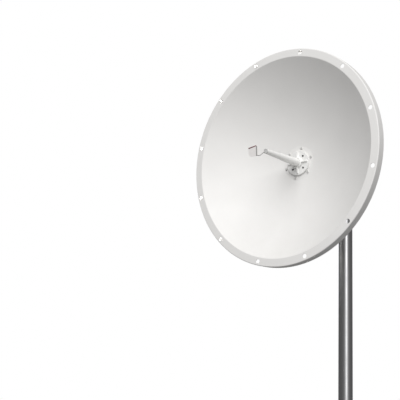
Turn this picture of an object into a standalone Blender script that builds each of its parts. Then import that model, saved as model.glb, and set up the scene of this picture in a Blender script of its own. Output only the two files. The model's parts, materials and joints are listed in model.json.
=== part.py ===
"""Microwave dish antenna: a spun reflector with a feed tube, clamped beside a steel pole.

Metres, +Z up. The origin is the middle of the foot's underside, on the pole's axis.
The dish looks along -Y and slightly down.
"""

import math

import bmesh
import bpy
from mathutils import Matrix

# Clearance between pieces that touch
SEAT_GAP = 0.0003

# Reflector
MOUTH_RADIUS = 0.450
RIM_WIDTH = 0.036
FOCAL_LENGTH = 0.325
SHEET = 0.002
LIP_DEPTH = 0.040
LIP_CORNER_RADIUS = 0.004
BEAD_RADIUS = 0.004
FLAT_RADIUS = 0.078
RIM_HOLE_COUNT = 12
RIM_HOLE_RADIUS = 0.0095
RIM_STEPS = 60
BOWL_RINGS = 9
TILT_DOWN = math.radians(3.6)

# Feed base and its screws
FEED_FLANGE_RADIUS = 0.057
FEED_FLANGE_THICKNESS = 0.008
FEED_BOSS_WALL = 0.003
FEED_BOSS_HEIGHT = 0.012
SPIGOT_RADIUS = 0.0195
WEB_THICKNESS = 0.007
WEB_HEIGHT = 0.009
WEB_TOE = 0.006
WEB_COUNT = 4
FEED_SCREW_COUNT = 4
FEED_SCREW_CIRCLE = 0.0384
FEED_SCREW_RADIUS = 0.0025
FEED_SCREW_HEAD_RADIUS = 0.0045
FEED_SCREW_HEAD_HEIGHT = 0.003
FEED_SCREW_SOCKET = 0.004
FEED_SCREW_SINK = 0.002
SOCKET_DEPTH = 0.0018

# Feed tube and head
TUBE_BASE_RADIUS = 0.019
TUBE_END_RADIUS = 0.0103
TUBE_REACH = 0.095
CAP_THICKNESS = 0.004
END_CAP_CHAMFER = 0.001
SPLASH_DISTANCE = 0.190
SPLASH_WIDTH = 0.040
SPLASH_HEIGHT = 0.041
SPLASH_DROP = 0.003
SPLASH_SLANT = 0.005
SPLASH_CORNER = 0.018
SPLASH_THICKNESS = 0.0015
STRIP_WIDTH = 0.004
STAY_RADIUS = 0.0016
STAY_STANDOFF = 0.006
STAY_INSET = 0.0055
STAY_PAST = 0.017
FOOT_RADIUS = 0.0028

# Hub
HUB_RADIUS = 0.085
HUB_THICKNESS = 0.008
HUB_BOLT_COUNT = 6
HUB_BOLT_CIRCLE = 0.068
HUB_BOLT_RADIUS = 0.003
HUB_HOLE_RADIUS = 0.0033
HUB_BOLT_FLATS = 0.010
HUB_BOLT_HEAD_HEIGHT = 0.004
HUB_NUT_HEIGHT = 0.005
CONNECTOR_FLANGE_RADIUS = 0.016
CONNECTOR_FLANGE_THICKNESS = 0.003
CONNECTOR_NECK_RADIUS = 0.0065
CONNECTOR_RADIUS = 0.008
CONNECTOR_LENGTH = 0.022
CONNECTOR_NECK_LENGTH = 0.0073
CONNECTOR_HOLE_RADIUS = 0.028

# Ten millimetre fasteners
BOLT_RADIUS = 0.005
BOLT_HOLE_RADIUS = 0.0056
BOLT_FLATS = 0.017
BOLT_HEAD_HEIGHT = 0.0064
NUT_HEIGHT = 0.008
BOLT_STICKOUT = 0.004
WASHER_RADIUS = 0.010
WASHER_THICKNESS = 0.002

# Pole and foot
POLE_RADIUS = 0.03015
POLE_WALL = 0.0032
POLE_TOP = 1.510
CAP_HEIGHT = 0.006
CAP_PLUG = 0.018
CAP_OVERHANG = 0.0008
CAP_CHAMFER = 0.003
FOOT_SIDE = 0.250
FOOT_THICKNESS = 0.012
FOOT_CORNER = 0.015
ANCHOR_SPACING = 0.190
ANCHOR_HOLE_RADIUS = 0.009
GUSSET_LENGTH = 0.070
GUSSET_HEIGHT = 0.100
GUSSET_THICKNESS = 0.008
GUSSET_TOE = 0.010
GUSSET_COUNT = 4
DISH_HEIGHT = 1.350
DISH_OFFSET = -0.130
TILT_TO_POLE = 0.1683

# Pole bracket, a tee clamped to the pole
CLAMP_WIDTH = 0.110
CLAMP_HEIGHT = 0.190
CLAMP_THICKNESS = 0.008
CLAMP_CORNER = 0.010
SADDLE_DEPTH = 0.0155
SADDLE_WRAP = 0.024
SADDLE_HALF_WIDTH = 0.029
SADDLE_HEIGHT = 0.030
U_BOLT_SPACING = 0.130
U_BOLT_TAIL = 0.018
FIN_THICKNESS = 0.006
FIN_REACH = 0.145
FIN_CORNER = 0.025

# Tilt bracket, an angle bolted to the hub
TILT_PLATE_LEFT = 0.090
TILT_HEIGHT = 0.190
TILT_THICKNESS = 0.006
TILT_BEND_RADIUS = 0.008
CHEEK_REACH = 0.094
TILT_GUSSET_WIDTH = 0.040
TILT_GUSSET_REACH = 0.040
TILT_GUSSET_HEIGHT = 0.080

# Elevation gear
PIVOT_FORWARD = 0.105
PIVOT_BELOW = 0.060
LOCK_RADIUS = 0.105
SLOT_HALF_ANGLE = math.radians(10.0)
ROD_SIDE = 0.030
LUG_THICKNESS = 0.006
LUG_HALF_DEPTH = 0.015
LUG_EDGE = 0.014
LOWER_LUG_ABOVE = 0.002
UPPER_LUG_INSET = 0.0065
ROD_TAIL = 0.024

# Facets
DISC_STEPS = 48
ROUND_STEPS = 32
TUBE_STEPS = 24
SMALL_STEPS = 16
BORE_STEPS = 12
SCREW_STEPS = 8
HEXAGON = 6
ARC_STEPS = 5
LIP_STEPS = 3
LIP_INNER_STEPS = 2
BEAD_STEPS = 7
ROD_RESOLUTION = 2
SHARP_ANGLE = math.radians(35)
MERGE_DISTANCE = 0.00001
CUT_PAST = 0.002

# Derived places, on the dish axis, with the rim's front face at zero
OUTER_RADIUS = MOUTH_RADIUS + RIM_WIDTH
RIM_HOLE_CIRCLE = MOUTH_RADIUS + RIM_WIDTH / 2
APEX_DEPTH = MOUTH_RADIUS**2 / (4 * FOCAL_LENGTH)
SEAT_DEPTH = APEX_DEPTH - FLAT_RADIUS**2 / (4 * FOCAL_LENGTH)
FEED_SEAT = -SEAT_DEPTH + SEAT_GAP
FEED_FACE = FEED_SEAT + FEED_FLANGE_THICKNESS
HUB_FRONT = -SEAT_DEPTH - SHEET - SEAT_GAP
HUB_REAR = HUB_FRONT - HUB_THICKNESS
TILT_FRONT = HUB_REAR - SEAT_GAP
TILT_REAR = TILT_FRONT - TILT_THICKNESS
CENTRE_HOLE_RADIUS = SPIGOT_RADIUS + SEAT_GAP
SPLASH_BACK = SPLASH_DISTANCE - SPLASH_THICKNESS / 2
RIM_TO_POLE = TILT_TO_POLE - TILT_REAR

# Derived places in the pole's frame
CLAMP_REAR = -(POLE_RADIUS + SEAT_GAP + SADDLE_DEPTH + SEAT_GAP)
CLAMP_FRONT = CLAMP_REAR - CLAMP_THICKNESS
PIVOT_HEIGHT = DISH_HEIGHT - PIVOT_BELOW
LOCK_HEIGHT = PIVOT_HEIGHT + LOCK_RADIUS
CHEEK_RIGHT = -DISH_OFFSET - FIN_THICKNESS / 2 - SEAT_GAP
CHEEK_LEFT = CHEEK_RIGHT - TILT_THICKNESS
U_BOLT_BEND = POLE_RADIUS + SEAT_GAP + BOLT_RADIUS
LOWER_LUG_HEIGHT = DISH_HEIGHT + LOWER_LUG_ABOVE

PART_COLLECTION = "microwave_dish_antenna"
CUTTER_COLLECTION = "cutters"


def clear_scene():
    """Removes every object of the startup scene."""
    for obj in list(bpy.data.objects):
        bpy.data.objects.remove(obj, do_unlink=True)


def new_collection(name, hidden):
    """A collection under the scene's own."""
    collection = bpy.data.collections.new(name)
    collection.hide_render = hidden
    bpy.context.scene.collection.children.link(collection)
    return collection


def new_material(name, colour, roughness, metallic):
    """A plain Principled material."""
    material = bpy.data.materials.new(name)
    material.use_nodes = True
    shader = material.node_tree.nodes["Principled BSDF"]
    shader.inputs["Base Color"].default_value = (*colour, 1.0)
    shader.inputs["Roughness"].default_value = roughness
    shader.inputs["Metallic"].default_value = metallic
    material.diffuse_color = (*colour, 1.0)
    return material


def add_part(name, mesh, material, parent, location=(0, 0, 0), rotation=(0, 0, 0)):
    """A visible piece of the antenna."""
    obj = bpy.data.objects.new(name, mesh)
    parts.objects.link(obj)
    obj.parent = parent
    obj.location = location
    obj.rotation_euler = rotation
    if material.name not in mesh.materials:
        mesh.materials.append(material)
    return obj


def add_cutter(name, mesh, parent, location=(0, 0, 0), rotation=(0, 0, 0)):
    """A helper that cuts or joins, shown as wire."""
    obj = bpy.data.objects.new(name, mesh)
    cutters.objects.link(obj)
    obj.parent = parent
    obj.location = location
    obj.rotation_euler = rotation
    obj.hide_render = True
    obj.display_type = "WIRE"
    return obj


def combine(target, helper, operation):
    """Adds a live Boolean to the target."""
    modifier = target.modifiers.new(helper.name, "BOOLEAN")
    modifier.operation = operation
    modifier.solver = "EXACT"
    modifier.object = helper


def cut(target, helper):
    """Cuts the helper's shape out of the target."""
    combine(target, helper, "DIFFERENCE")


def fuse(target, helper):
    """Joins the helper's shape to the target."""
    combine(target, helper, "UNION")


def bake(obj, name):
    """The object's evaluated mesh in its own frame. The object is removed."""
    bpy.context.view_layer.update()
    graph = bpy.context.evaluated_depsgraph_get()
    mesh = bpy.data.meshes.new_from_object(obj.evaluated_get(graph))
    mesh.name = name
    bpy.data.objects.remove(obj, do_unlink=True)
    return mesh


def soften(mesh):
    """Smooth shading with sharp edges kept."""
    mesh.shade_smooth()
    mesh.set_sharp_from_angle(angle=SHARP_ANGLE)


def prism_mesh(name, radius, low, high, sides):
    """An upright prism from low to high on Z."""
    shape = bmesh.new()
    place = Matrix.Translation((0, 0, (low + high) / 2))
    bmesh.ops.create_cone(
        shape,
        cap_ends=True,
        segments=sides,
        radius1=radius,
        radius2=radius,
        depth=high - low,
        matrix=place,
    )
    mesh = bpy.data.meshes.new(name)
    shape.to_mesh(mesh)
    shape.free()
    return mesh


def box_mesh(name, low, high):
    """A box between two corners."""
    shape = bmesh.new()
    size = [b - a for a, b in zip(low, high)]
    middle = [(a + b) / 2 for a, b in zip(low, high)]
    place = Matrix.Translation(middle) @ Matrix.Diagonal((*size, 1.0))
    bmesh.ops.create_cube(shape, size=1.0, matrix=place)
    mesh = bpy.data.meshes.new(name)
    shape.to_mesh(mesh)
    shape.free()
    return mesh


def turned(name, profile, steps, material, parent, closed, location=(0, 0, 0)):
    """A turned piece: an outline of radius and height, swept about Z."""
    points = [(radius, 0.0, height) for radius, height in profile]
    edges = [(i, i + 1) for i in range(len(points) - 1)]
    if closed:
        edges.append((len(points) - 1, 0))
    mesh = bpy.data.meshes.new(name)
    mesh.from_pydata(points, edges, [])
    obj = add_part(name, mesh, material, parent, location)
    screw = obj.modifiers.new("turn", "SCREW")
    screw.axis = "Z"
    screw.angle = math.tau
    screw.steps = steps
    screw.render_steps = steps
    screw.use_merge_vertices = True
    screw.merge_threshold = MERGE_DISTANCE
    return obj


def circle_points(radius, centre=(0, 0), steps=SMALL_STEPS, start=0.0, sweep=math.tau):
    """Points along a circle. A part circle takes both its ends."""
    full = sweep == math.tau
    count = steps if full else steps + 1
    return [
        (
            centre[0] + radius * math.cos(start + sweep * i / steps),
            centre[1] + radius * math.sin(start + sweep * i / steps),
        )
        for i in range(count)
    ]


def ring_places(count, radius, start):
    """Middle points spread evenly on a circle."""
    return circle_points(radius, steps=count, start=start)


def rounded(points, radii):
    """The polygon with an arc of the given radius at each corner. Zero keeps the corner."""
    outline = []
    for i, (x, y) in enumerate(points):
        radius = radii[i]
        if radius == 0:
            outline.append((x, y))
            continue
        before = points[i - 1]
        after = points[(i + 1) % len(points)]
        back = math.atan2(before[1] - y, before[0] - x)
        ahead = math.atan2(after[1] - y, after[0] - x)
        turn = (ahead - back + math.pi) % math.tau - math.pi
        reach = radius / math.tan(abs(turn) / 2)
        middle = back + turn / 2
        span = math.hypot(radius, reach)
        centre = (x + span * math.cos(middle), y + span * math.sin(middle))
        side = math.copysign(math.pi / 2, turn)
        sweep = turn - math.copysign(math.pi, turn)
        start = back - side
        outline += circle_points(radius, centre, ARC_STEPS, start, sweep)
    return outline


def plate_mesh(name, outline, holes, thickness):
    """A flat plate in the XY plane with holes, half its thickness to each side."""
    curve = bpy.data.curves.new(name, "CURVE")
    curve.dimensions = "2D"
    curve.fill_mode = "BOTH"
    curve.extrude = thickness / 2
    for loop in [outline, *holes]:
        spline = curve.splines.new("POLY")
        spline.points.add(len(loop) - 1)
        for point, (x, y) in zip(spline.points, loop):
            point.co = (x, y, 0, 1)
        spline.use_cyclic_u = True
    obj = bpy.data.objects.new(name, curve)
    cutters.objects.link(obj)
    mesh = bake(obj, name)
    bpy.data.curves.remove(curve)
    return welded(mesh)


def welded(mesh):
    """The mesh with its loose caps joined and its faces pointing out."""
    shape = bmesh.new()
    shape.from_mesh(mesh)
    bmesh.ops.remove_doubles(shape, verts=shape.verts, dist=MERGE_DISTANCE)
    bmesh.ops.recalc_face_normals(shape, faces=shape.faces)
    shape.to_mesh(mesh)
    shape.free()
    return mesh


def rod_mesh(name, points, radius):
    """A bent round bar along a line of points, with closed ends."""
    curve = bpy.data.curves.new(name, "CURVE")
    curve.dimensions = "3D"
    curve.bevel_depth = radius
    curve.bevel_resolution = ROD_RESOLUTION
    curve.use_fill_caps = True
    spline = curve.splines.new("POLY")
    spline.points.add(len(points) - 1)
    for point, place in zip(spline.points, points):
        point.co = (*place, 1)
    obj = bpy.data.objects.new(name, curve)
    cutters.objects.link(obj)
    mesh = bake(obj, name)
    bpy.data.curves.remove(curve)
    return welded(mesh)


def fused_mesh(name, meshes):
    """One closed mesh from several that overlap, all in the same frame."""
    base = add_cutter(name, meshes[0], None)
    helpers = [add_cutter(f"{name}_{i}", mesh, None) for i, mesh in enumerate(meshes[1:])]
    for helper in helpers:
        fuse(base, helper)
    mesh = bake(base, name)
    for helper in helpers:
        bpy.data.objects.remove(helper, do_unlink=True)
    return mesh


def hexagon_radius(flats):
    """Corner radius of a hexagon from its width across flats."""
    return flats / math.sqrt(3)


def bolt_mesh(name, grip, radius, flats, head_height, nut_height, washer=0.0):
    """A hexagon bolt with its nut. The head's side of the grip is at zero, the shank runs down Z."""
    corner = hexagon_radius(flats)
    head_seat = SEAT_GAP + washer
    nut_seat = -grip - SEAT_GAP - washer
    tip = nut_seat - nut_height - BOLT_STICKOUT
    shank = prism_mesh(name, radius, tip, head_seat + head_height / 2, BORE_STEPS)
    sunk = washer / 2
    head = prism_mesh(name, corner, head_seat - sunk, head_seat + head_height, HEXAGON)
    nut = prism_mesh(name, corner, nut_seat - nut_height, nut_seat + sunk, HEXAGON)
    pieces = [shank, head, nut]
    if washer:
        for low in (SEAT_GAP, nut_seat):
            ring = prism_mesh(name, WASHER_RADIUS, low, low + washer, ROUND_STEPS)
            pieces.append(ring)
    mesh = fused_mesh(name, pieces)
    soften(mesh)
    return mesh


def nut_mesh(name):
    """A hexagon nut, middle at the origin, bore along Z."""
    flats = circle_points(hexagon_radius(BOLT_FLATS), steps=HEXAGON)
    bore = circle_points(BOLT_RADIUS + SEAT_GAP, steps=BORE_STEPS)
    return plate_mesh(name, flats, [bore], NUT_HEIGHT)


def bowl_height(radius):
    """Height of the bowl's front face at a radius."""
    return radius**2 / (4 * FOCAL_LENGTH) - APEX_DEPTH


def bowl_back(radius):
    """Point of the bowl's rear face, one sheet behind the front face at a radius."""
    slope = radius / (2 * FOCAL_LENGTH)
    stretch = math.hypot(1, slope)
    return radius + SHEET * slope / stretch, bowl_height(radius) - SHEET / stretch


def reflector_profile():
    """Closed outline of the spun sheet, from the centre hole out and back."""
    step = (MOUTH_RADIUS - FLAT_RADIUS) / BOWL_RINGS
    radii = [FLAT_RADIUS + step * i for i in range(BOWL_RINGS + 1)]
    front = [(CENTRE_HOLE_RADIUS, -SEAT_DEPTH)]
    front += [(radius, bowl_height(radius)) for radius in radii]
    corner = (OUTER_RADIUS - LIP_CORNER_RADIUS, -LIP_CORNER_RADIUS)
    front += circle_points(LIP_CORNER_RADIUS, corner, LIP_STEPS, math.pi / 2, -math.pi / 2)
    bead = (OUTER_RADIUS - BEAD_RADIUS, -LIP_DEPTH + BEAD_RADIUS)
    lip_inside = OUTER_RADIUS - SHEET
    curl = math.acos((lip_inside - bead[0]) / BEAD_RADIUS)
    front += circle_points(BEAD_RADIUS, bead, BEAD_STEPS, 0.0, curl - math.tau)
    inner_corner = LIP_CORNER_RADIUS - SHEET
    back = circle_points(inner_corner, corner, LIP_INNER_STEPS, 0.0, math.pi / 2)
    mitre = math.tan(math.atan(MOUTH_RADIUS / (2 * FOCAL_LENGTH)) / 2)
    back.append((MOUTH_RADIUS + SHEET * mitre, -SHEET))
    back += [bowl_back(radius) for radius in reversed(radii[1:-1])]
    knee = math.tan(math.atan(FLAT_RADIUS / (2 * FOCAL_LENGTH)) / 2)
    back.append((FLAT_RADIUS + SHEET * knee, -SEAT_DEPTH - SHEET))
    back.append((CENTRE_HOLE_RADIUS, -SEAT_DEPTH - SHEET))
    return front + back


def hole_cutters(name, places, radius, low, high, sides, parent):
    """One helper for each hole of a pattern, all sharing a mesh."""
    mesh = prism_mesh(name, radius, low, high, sides)
    return [
        add_cutter(f"{name}_{i + 1}", mesh, parent, (x, y, 0))
        for i, (x, y) in enumerate(places)
    ]


def build_reflector():
    """Spun bowl, flat rim, lip and rolled edge, with its rim, bolt and screw holes."""
    profile = reflector_profile()
    reflector = turned("reflector", profile, RIM_STEPS, white_paint, dish, True)
    half_step = math.pi / RIM_HOLE_COUNT
    rim_places = ring_places(RIM_HOLE_COUNT, RIM_HOLE_CIRCLE, half_step)
    rim_range = (-SHEET - CUT_PAST, CUT_PAST)
    hub_range = (-SEAT_DEPTH - SHEET - CUT_PAST, -SEAT_DEPTH + CUT_PAST)
    screw_hole = FEED_SCREW_RADIUS + SEAT_GAP
    helpers = hole_cutters("rim_hole", rim_places, RIM_HOLE_RADIUS, *rim_range, BORE_STEPS, dish)
    helpers += hole_cutters("hub_hole", hub_places, HUB_HOLE_RADIUS, *hub_range, BORE_STEPS, dish)
    helpers += hole_cutters("screw_hole", screw_places, screw_hole, *hub_range, SCREW_STEPS, dish)
    for helper in helpers:
        cut(reflector, helper)


def build_feed_base():
    """Cast flange with a boss, four low webs and a spigot through the bowl."""
    boss_radius = TUBE_BASE_RADIUS + SEAT_GAP + FEED_BOSS_WALL
    boss_top = FEED_FACE + FEED_BOSS_HEIGHT
    profile = [
        (0, boss_top),
        (boss_radius, boss_top),
        (boss_radius + FEED_BOSS_WALL, FEED_FACE),
        (FEED_FLANGE_RADIUS, FEED_FACE),
        (FEED_FLANGE_RADIUS, FEED_SEAT),
        (SPIGOT_RADIUS, FEED_SEAT),
        (SPIGOT_RADIUS, HUB_REAR),
        (0, HUB_REAR),
    ]
    base = turned("feed_base", profile, ROUND_STEPS, white_cast, dish, False)
    web = [
        (0, FEED_FACE - CUT_PAST),
        (FEED_FLANGE_RADIUS - WEB_TOE, FEED_FACE - CUT_PAST),
        (FEED_FLANGE_RADIUS - WEB_TOE, FEED_FACE + WEB_TOE),
        (boss_radius, FEED_FACE + WEB_HEIGHT),
        (0, FEED_FACE + WEB_HEIGHT),
    ]
    web_plate = plate_mesh("web", web, [], WEB_THICKNESS)
    for i in range(WEB_COUNT):
        turn = math.tau * i / WEB_COUNT
        helper = add_cutter(f"web_{i + 1}", web_plate, dish, (0, 0, 0), (math.pi / 2, 0, turn))
        fuse(base, helper)
    bore_radius = TUBE_BASE_RADIUS + SEAT_GAP
    bore_top = boss_top + CUT_PAST
    bore = prism_mesh("tube_bore", bore_radius, FEED_SEAT, bore_top, ROUND_STEPS)
    cut(base, add_cutter("tube_bore", bore, dish))
    recess = (FEED_FACE - FEED_SCREW_SINK - FEED_SCREW_HEAD_HEIGHT, FEED_FACE + CUT_PAST)
    shank = (FEED_SEAT - CUT_PAST, FEED_FACE)
    head_hole = FEED_SCREW_HEAD_RADIUS + 2 * SEAT_GAP
    shank_hole = FEED_SCREW_RADIUS + SEAT_GAP
    helpers = hole_cutters("screw_recess", screw_places, head_hole, *recess, BORE_STEPS, dish)
    helpers += hole_cutters("screw_bore", screw_places, shank_hole, *shank, SCREW_STEPS, dish)
    for helper in helpers:
        cut(base, helper)


def build_feed_screws():
    """Four dark socket screws, sunk in the flange between the webs."""
    top = FEED_FACE - FEED_SCREW_SINK
    seat = top - FEED_SCREW_HEAD_HEIGHT + SEAT_GAP
    head = prism_mesh("screw_head", FEED_SCREW_HEAD_RADIUS, seat, top, BORE_STEPS)
    shank = prism_mesh("screw_shank", FEED_SCREW_RADIUS, HUB_REAR, seat + SEAT_GAP, SCREW_STEPS)
    base = add_cutter("feed_screw_body", fused_mesh("feed_screw", [head, shank]), None)
    corner = hexagon_radius(FEED_SCREW_SOCKET)
    socket = prism_mesh("screw_socket", corner, top - SOCKET_DEPTH, top + CUT_PAST, HEXAGON)
    helper = add_cutter("screw_socket", socket, None)
    cut(base, helper)
    mesh = bake(base, "feed_screw")
    bpy.data.objects.remove(helper, do_unlink=True)
    for i, (x, y) in enumerate(screw_places):
        add_part(f"feed_screw_{i + 1}", mesh, dark_steel, dish, (x, y, 0))


def build_feed_tube():
    """Tapered tube, seated in the base, and its end cap."""
    taper = (TUBE_BASE_RADIUS - TUBE_END_RADIUS) / (TUBE_REACH - FEED_FACE)
    root = FEED_SEAT + SEAT_GAP
    shoulder = FEED_FACE + FEED_BOSS_HEIGHT
    profile = [
        (0, TUBE_REACH),
        (TUBE_END_RADIUS, TUBE_REACH),
        (TUBE_BASE_RADIUS - taper * (shoulder - FEED_FACE), shoulder),
        (TUBE_BASE_RADIUS, FEED_FACE),
        (TUBE_BASE_RADIUS, root),
        (0, root),
    ]
    turned("feed_tube", profile, TUBE_STEPS, white_cast, dish, False)
    cap_low = TUBE_REACH + SEAT_GAP
    cap_high = cap_low + CAP_THICKNESS
    cap = [
        (0, cap_high),
        (TUBE_END_RADIUS - END_CAP_CHAMFER, cap_high),
        (TUBE_END_RADIUS, cap_high - END_CAP_CHAMFER),
        (TUBE_END_RADIUS, cap_low),
        (0, cap_low),
    ]
    turned("feed_end_cap", cap, TUBE_STEPS, end_grey, dish, False)


def build_splash_plate():
    """Square plate ahead of the tube, its edge strips and the bent stay that holds it."""
    right = SPLASH_WIDTH / 2
    left = -right
    top = -SPLASH_DROP
    bottom = top - SPLASH_HEIGHT
    corners = [(right, top), (left, top - SPLASH_SLANT), (left, bottom), (right, bottom)]
    outline = rounded(corners, [0, 0, SPLASH_CORNER, 0])
    plate = plate_mesh("splash_plate", outline, [], SPLASH_THICKNESS)
    add_part("splash_plate", plate, pale_plate, dish, (0, 0, SPLASH_DISTANCE))
    slant = math.atan2(SPLASH_SLANT, SPLASH_WIDTH)
    length = math.hypot(SPLASH_SLANT, SPLASH_WIDTH)
    half = STRIP_WIDTH / 2
    top_strip = box_mesh("plate_top_strip", (-length, SEAT_GAP, -half), (0, STRIP_WIDTH, half))
    corner_place = (right, top, SPLASH_DISTANCE)
    add_part("plate_top_strip", top_strip, red_strip, dish, corner_place, (0, 0, slant))
    side_low = (SEAT_GAP, bottom - top, -half)
    side_strip = box_mesh("plate_side_strip", side_low, (STRIP_WIDTH, 0, half))
    add_part("plate_side_strip", side_strip, grey_strip, dish, corner_place)
    foot = FOOT_RADIUS + SEAT_GAP
    stay_height = SPLASH_DISTANCE - half - SEAT_GAP - STAY_RADIUS
    start = (-STAY_INSET, -STAY_INSET, TUBE_REACH + CAP_THICKNESS + 2 * SEAT_GAP)
    first_bend = (start[0], start[1], start[2] + STAY_STANDOFF)
    second_bend = (right + STAY_PAST, bottom - STAY_RADIUS, stay_height)
    end = (right - foot, bottom + foot, stay_height)
    rod = rod_mesh("stay_rod", [start, first_bend, second_bend, end], STAY_RADIUS)
    pad_low = stay_height - STAY_RADIUS
    pad = prism_mesh("stay_pad", FOOT_RADIUS, pad_low, SPLASH_BACK - SEAT_GAP, BORE_STEPS)
    pad.transform(Matrix.Translation((end[0], end[1], 0)))
    stay = fused_mesh("plate_stay", [rod, pad])
    add_part("plate_stay", stay, grey_strip, dish)


def build_hub():
    """Disc behind the bowl, its six bolts and the feed connector."""
    bolt_holes = [circle_points(HUB_HOLE_RADIUS, place, BORE_STEPS) for place in hub_places]
    screw_hole = FEED_SCREW_RADIUS + SEAT_GAP
    screw_holes = [circle_points(screw_hole, place, SCREW_STEPS) for place in screw_places]
    spigot_hole = circle_points(CENTRE_HOLE_RADIUS, steps=ROUND_STEPS)
    disc = circle_points(HUB_RADIUS, steps=DISC_STEPS)
    mesh = plate_mesh("hub_plate", disc, [spigot_hole, *bolt_holes, *screw_holes], HUB_THICKNESS)
    add_part("hub_plate", mesh, zinc, dish, (0, 0, (HUB_FRONT + HUB_REAR) / 2))
    grip = -SEAT_DEPTH - TILT_REAR
    sizes = (HUB_BOLT_RADIUS, HUB_BOLT_FLATS, HUB_BOLT_HEAD_HEIGHT, HUB_NUT_HEIGHT)
    bolt = bolt_mesh("hub_bolt", grip, *sizes)
    for i, (x, y) in enumerate(hub_places):
        turn = math.atan2(y, x)
        add_part(f"hub_bolt_{i + 1}", bolt, stainless, dish, (x, y, -SEAT_DEPTH), (0, 0, turn))
    top = HUB_REAR - SEAT_GAP
    flange = top - CONNECTOR_FLANGE_THICKNESS
    collar = flange - CONNECTOR_NECK_LENGTH
    connector = [
        (0, top),
        (CONNECTOR_FLANGE_RADIUS, top),
        (CONNECTOR_FLANGE_RADIUS, flange),
        (CONNECTOR_NECK_RADIUS, flange),
        (CONNECTOR_NECK_RADIUS, collar),
        (CONNECTOR_RADIUS, collar),
        (CONNECTOR_RADIUS, flange - CONNECTOR_LENGTH),
        (0, flange - CONNECTOR_LENGTH),
    ]
    turned("feed_connector", connector, TUBE_STEPS, brass, dish, False)


def build_tilt_bracket():
    """Angle on the hub: a plate, a cheek turned back beside the fin, gussets and a lug."""
    cheek_rear = TILT_REAR - CHEEK_REACH
    section = [
        (-TILT_PLATE_LEFT, TILT_FRONT),
        (-TILT_PLATE_LEFT, TILT_REAR),
        (CHEEK_LEFT, TILT_REAR),
        (CHEEK_LEFT, cheek_rear),
        (CHEEK_RIGHT, cheek_rear),
        (CHEEK_RIGHT, TILT_FRONT),
    ]
    inner_bend = TILT_BEND_RADIUS - TILT_THICKNESS
    outline = rounded(section, [0, 0, inner_bend, 0, 0, TILT_BEND_RADIUS])
    angle = plate_mesh("tilt_bracket", outline, [], TILT_HEIGHT)
    stand = (math.pi / 2, 0, 0)
    angle.transform(Matrix.Rotation(math.pi / 2, 4, "X"))
    bracket = add_part("tilt_bracket", angle, zinc, dish)
    weld = TILT_THICKNESS / 2
    rib = [
        (CHEEK_LEFT + weld, TILT_REAR + weld),
        (CHEEK_LEFT - TILT_GUSSET_WIDTH, TILT_REAR + weld),
        (CHEEK_LEFT - TILT_GUSSET_WIDTH, TILT_REAR - weld),
        (CHEEK_LEFT - weld, TILT_REAR - TILT_GUSSET_REACH),
        (CHEEK_LEFT + weld, TILT_REAR - TILT_GUSSET_REACH),
    ]
    rib_mesh = plate_mesh("tilt_gusset", rib, [], TILT_THICKNESS)
    for i, side in enumerate((-1, 1)):
        place = (0, side * TILT_GUSSET_HEIGHT, 0)
        fuse(bracket, add_cutter(f"tilt_gusset_{i + 1}", rib_mesh, dish, place, stand))
    lug_top = TILT_HEIGHT / 2 - UPPER_LUG_INSET + LUG_THICKNESS
    rod_forward = RIM_TO_POLE - PIVOT_FORWARD + math.sin(TILT_DOWN) * TILT_HEIGHT / 2
    lug_low = (CHEEK_LEFT + weld, lug_top - LUG_THICKNESS, -rod_forward - LUG_HALF_DEPTH)
    lug_high = (ROD_SIDE - DISH_OFFSET + LUG_EDGE, lug_top, -rod_forward + LUG_HALF_DEPTH)
    fuse(bracket, add_cutter("upper_lug", box_mesh("upper_lug", lug_low, lug_high), dish))
    bolt_range = (TILT_REAR - CUT_PAST, TILT_FRONT + CUT_PAST)
    hole = HUB_HOLE_RADIUS
    helpers = hole_cutters("tilt_hole", hub_places, hole, *bolt_range, BORE_STEPS, dish)
    opening = prism_mesh("connector_hole", CONNECTOR_HOLE_RADIUS, *bolt_range, ROUND_STEPS)
    helpers.append(add_cutter("connector_hole", opening, dish))
    for helper in helpers:
        cut(bracket, helper)
    return bracket


def build_pole_bracket():
    """Tee on the pole: a flange for the U-bolts, a fin beside the cheek, and a lug."""
    wide = CLAMP_WIDTH / 2
    tall = CLAMP_HEIGHT / 2
    corners = [(wide, tall), (-wide, tall), (-wide, -tall), (wide, -tall)]
    outline = rounded(corners, [CLAMP_CORNER] * len(corners))
    leg_places = [
        (x, height - DISH_HEIGHT) for x in (-U_BOLT_BEND, U_BOLT_BEND) for height in u_bolt_heights
    ]
    holes = [circle_points(BOLT_HOLE_RADIUS, place, BORE_STEPS) for place in leg_places]
    mesh = plate_mesh("pole_bracket", outline, holes, CLAMP_THICKNESS)
    place = (0, (CLAMP_FRONT + CLAMP_REAR) / 2, DISH_HEIGHT)
    bracket = add_part("pole_bracket", mesh, zinc, None, place, (math.pi / 2, 0, 0))
    root = -(CLAMP_FRONT + CLAMP_REAR) / 2
    fin_tall = tall - CLAMP_CORNER
    fin_corners = [(FIN_REACH, fin_tall), (root, fin_tall), (root, -fin_tall), (FIN_REACH, -fin_tall)]
    fin_outline = rounded(fin_corners, [FIN_CORNER, 0, 0, FIN_CORNER])
    fin_mesh = plate_mesh("fin", fin_outline, [], FIN_THICKNESS)
    turn = (math.pi / 2, 0, -math.pi / 2)
    fuse(bracket, add_cutter("fin", fin_mesh, None, (0, 0, DISH_HEIGHT), turn))
    lug_low = (0, -PIVOT_FORWARD - LUG_HALF_DEPTH, LOWER_LUG_HEIGHT)
    lug_high = (ROD_SIDE + LUG_EDGE, -PIVOT_FORWARD + LUG_HALF_DEPTH, LOWER_LUG_HEIGHT + LUG_THICKNESS)
    fuse(bracket, add_cutter("lower_lug", box_mesh("lower_lug", lug_low, lug_high), None))
    return bracket


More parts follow.
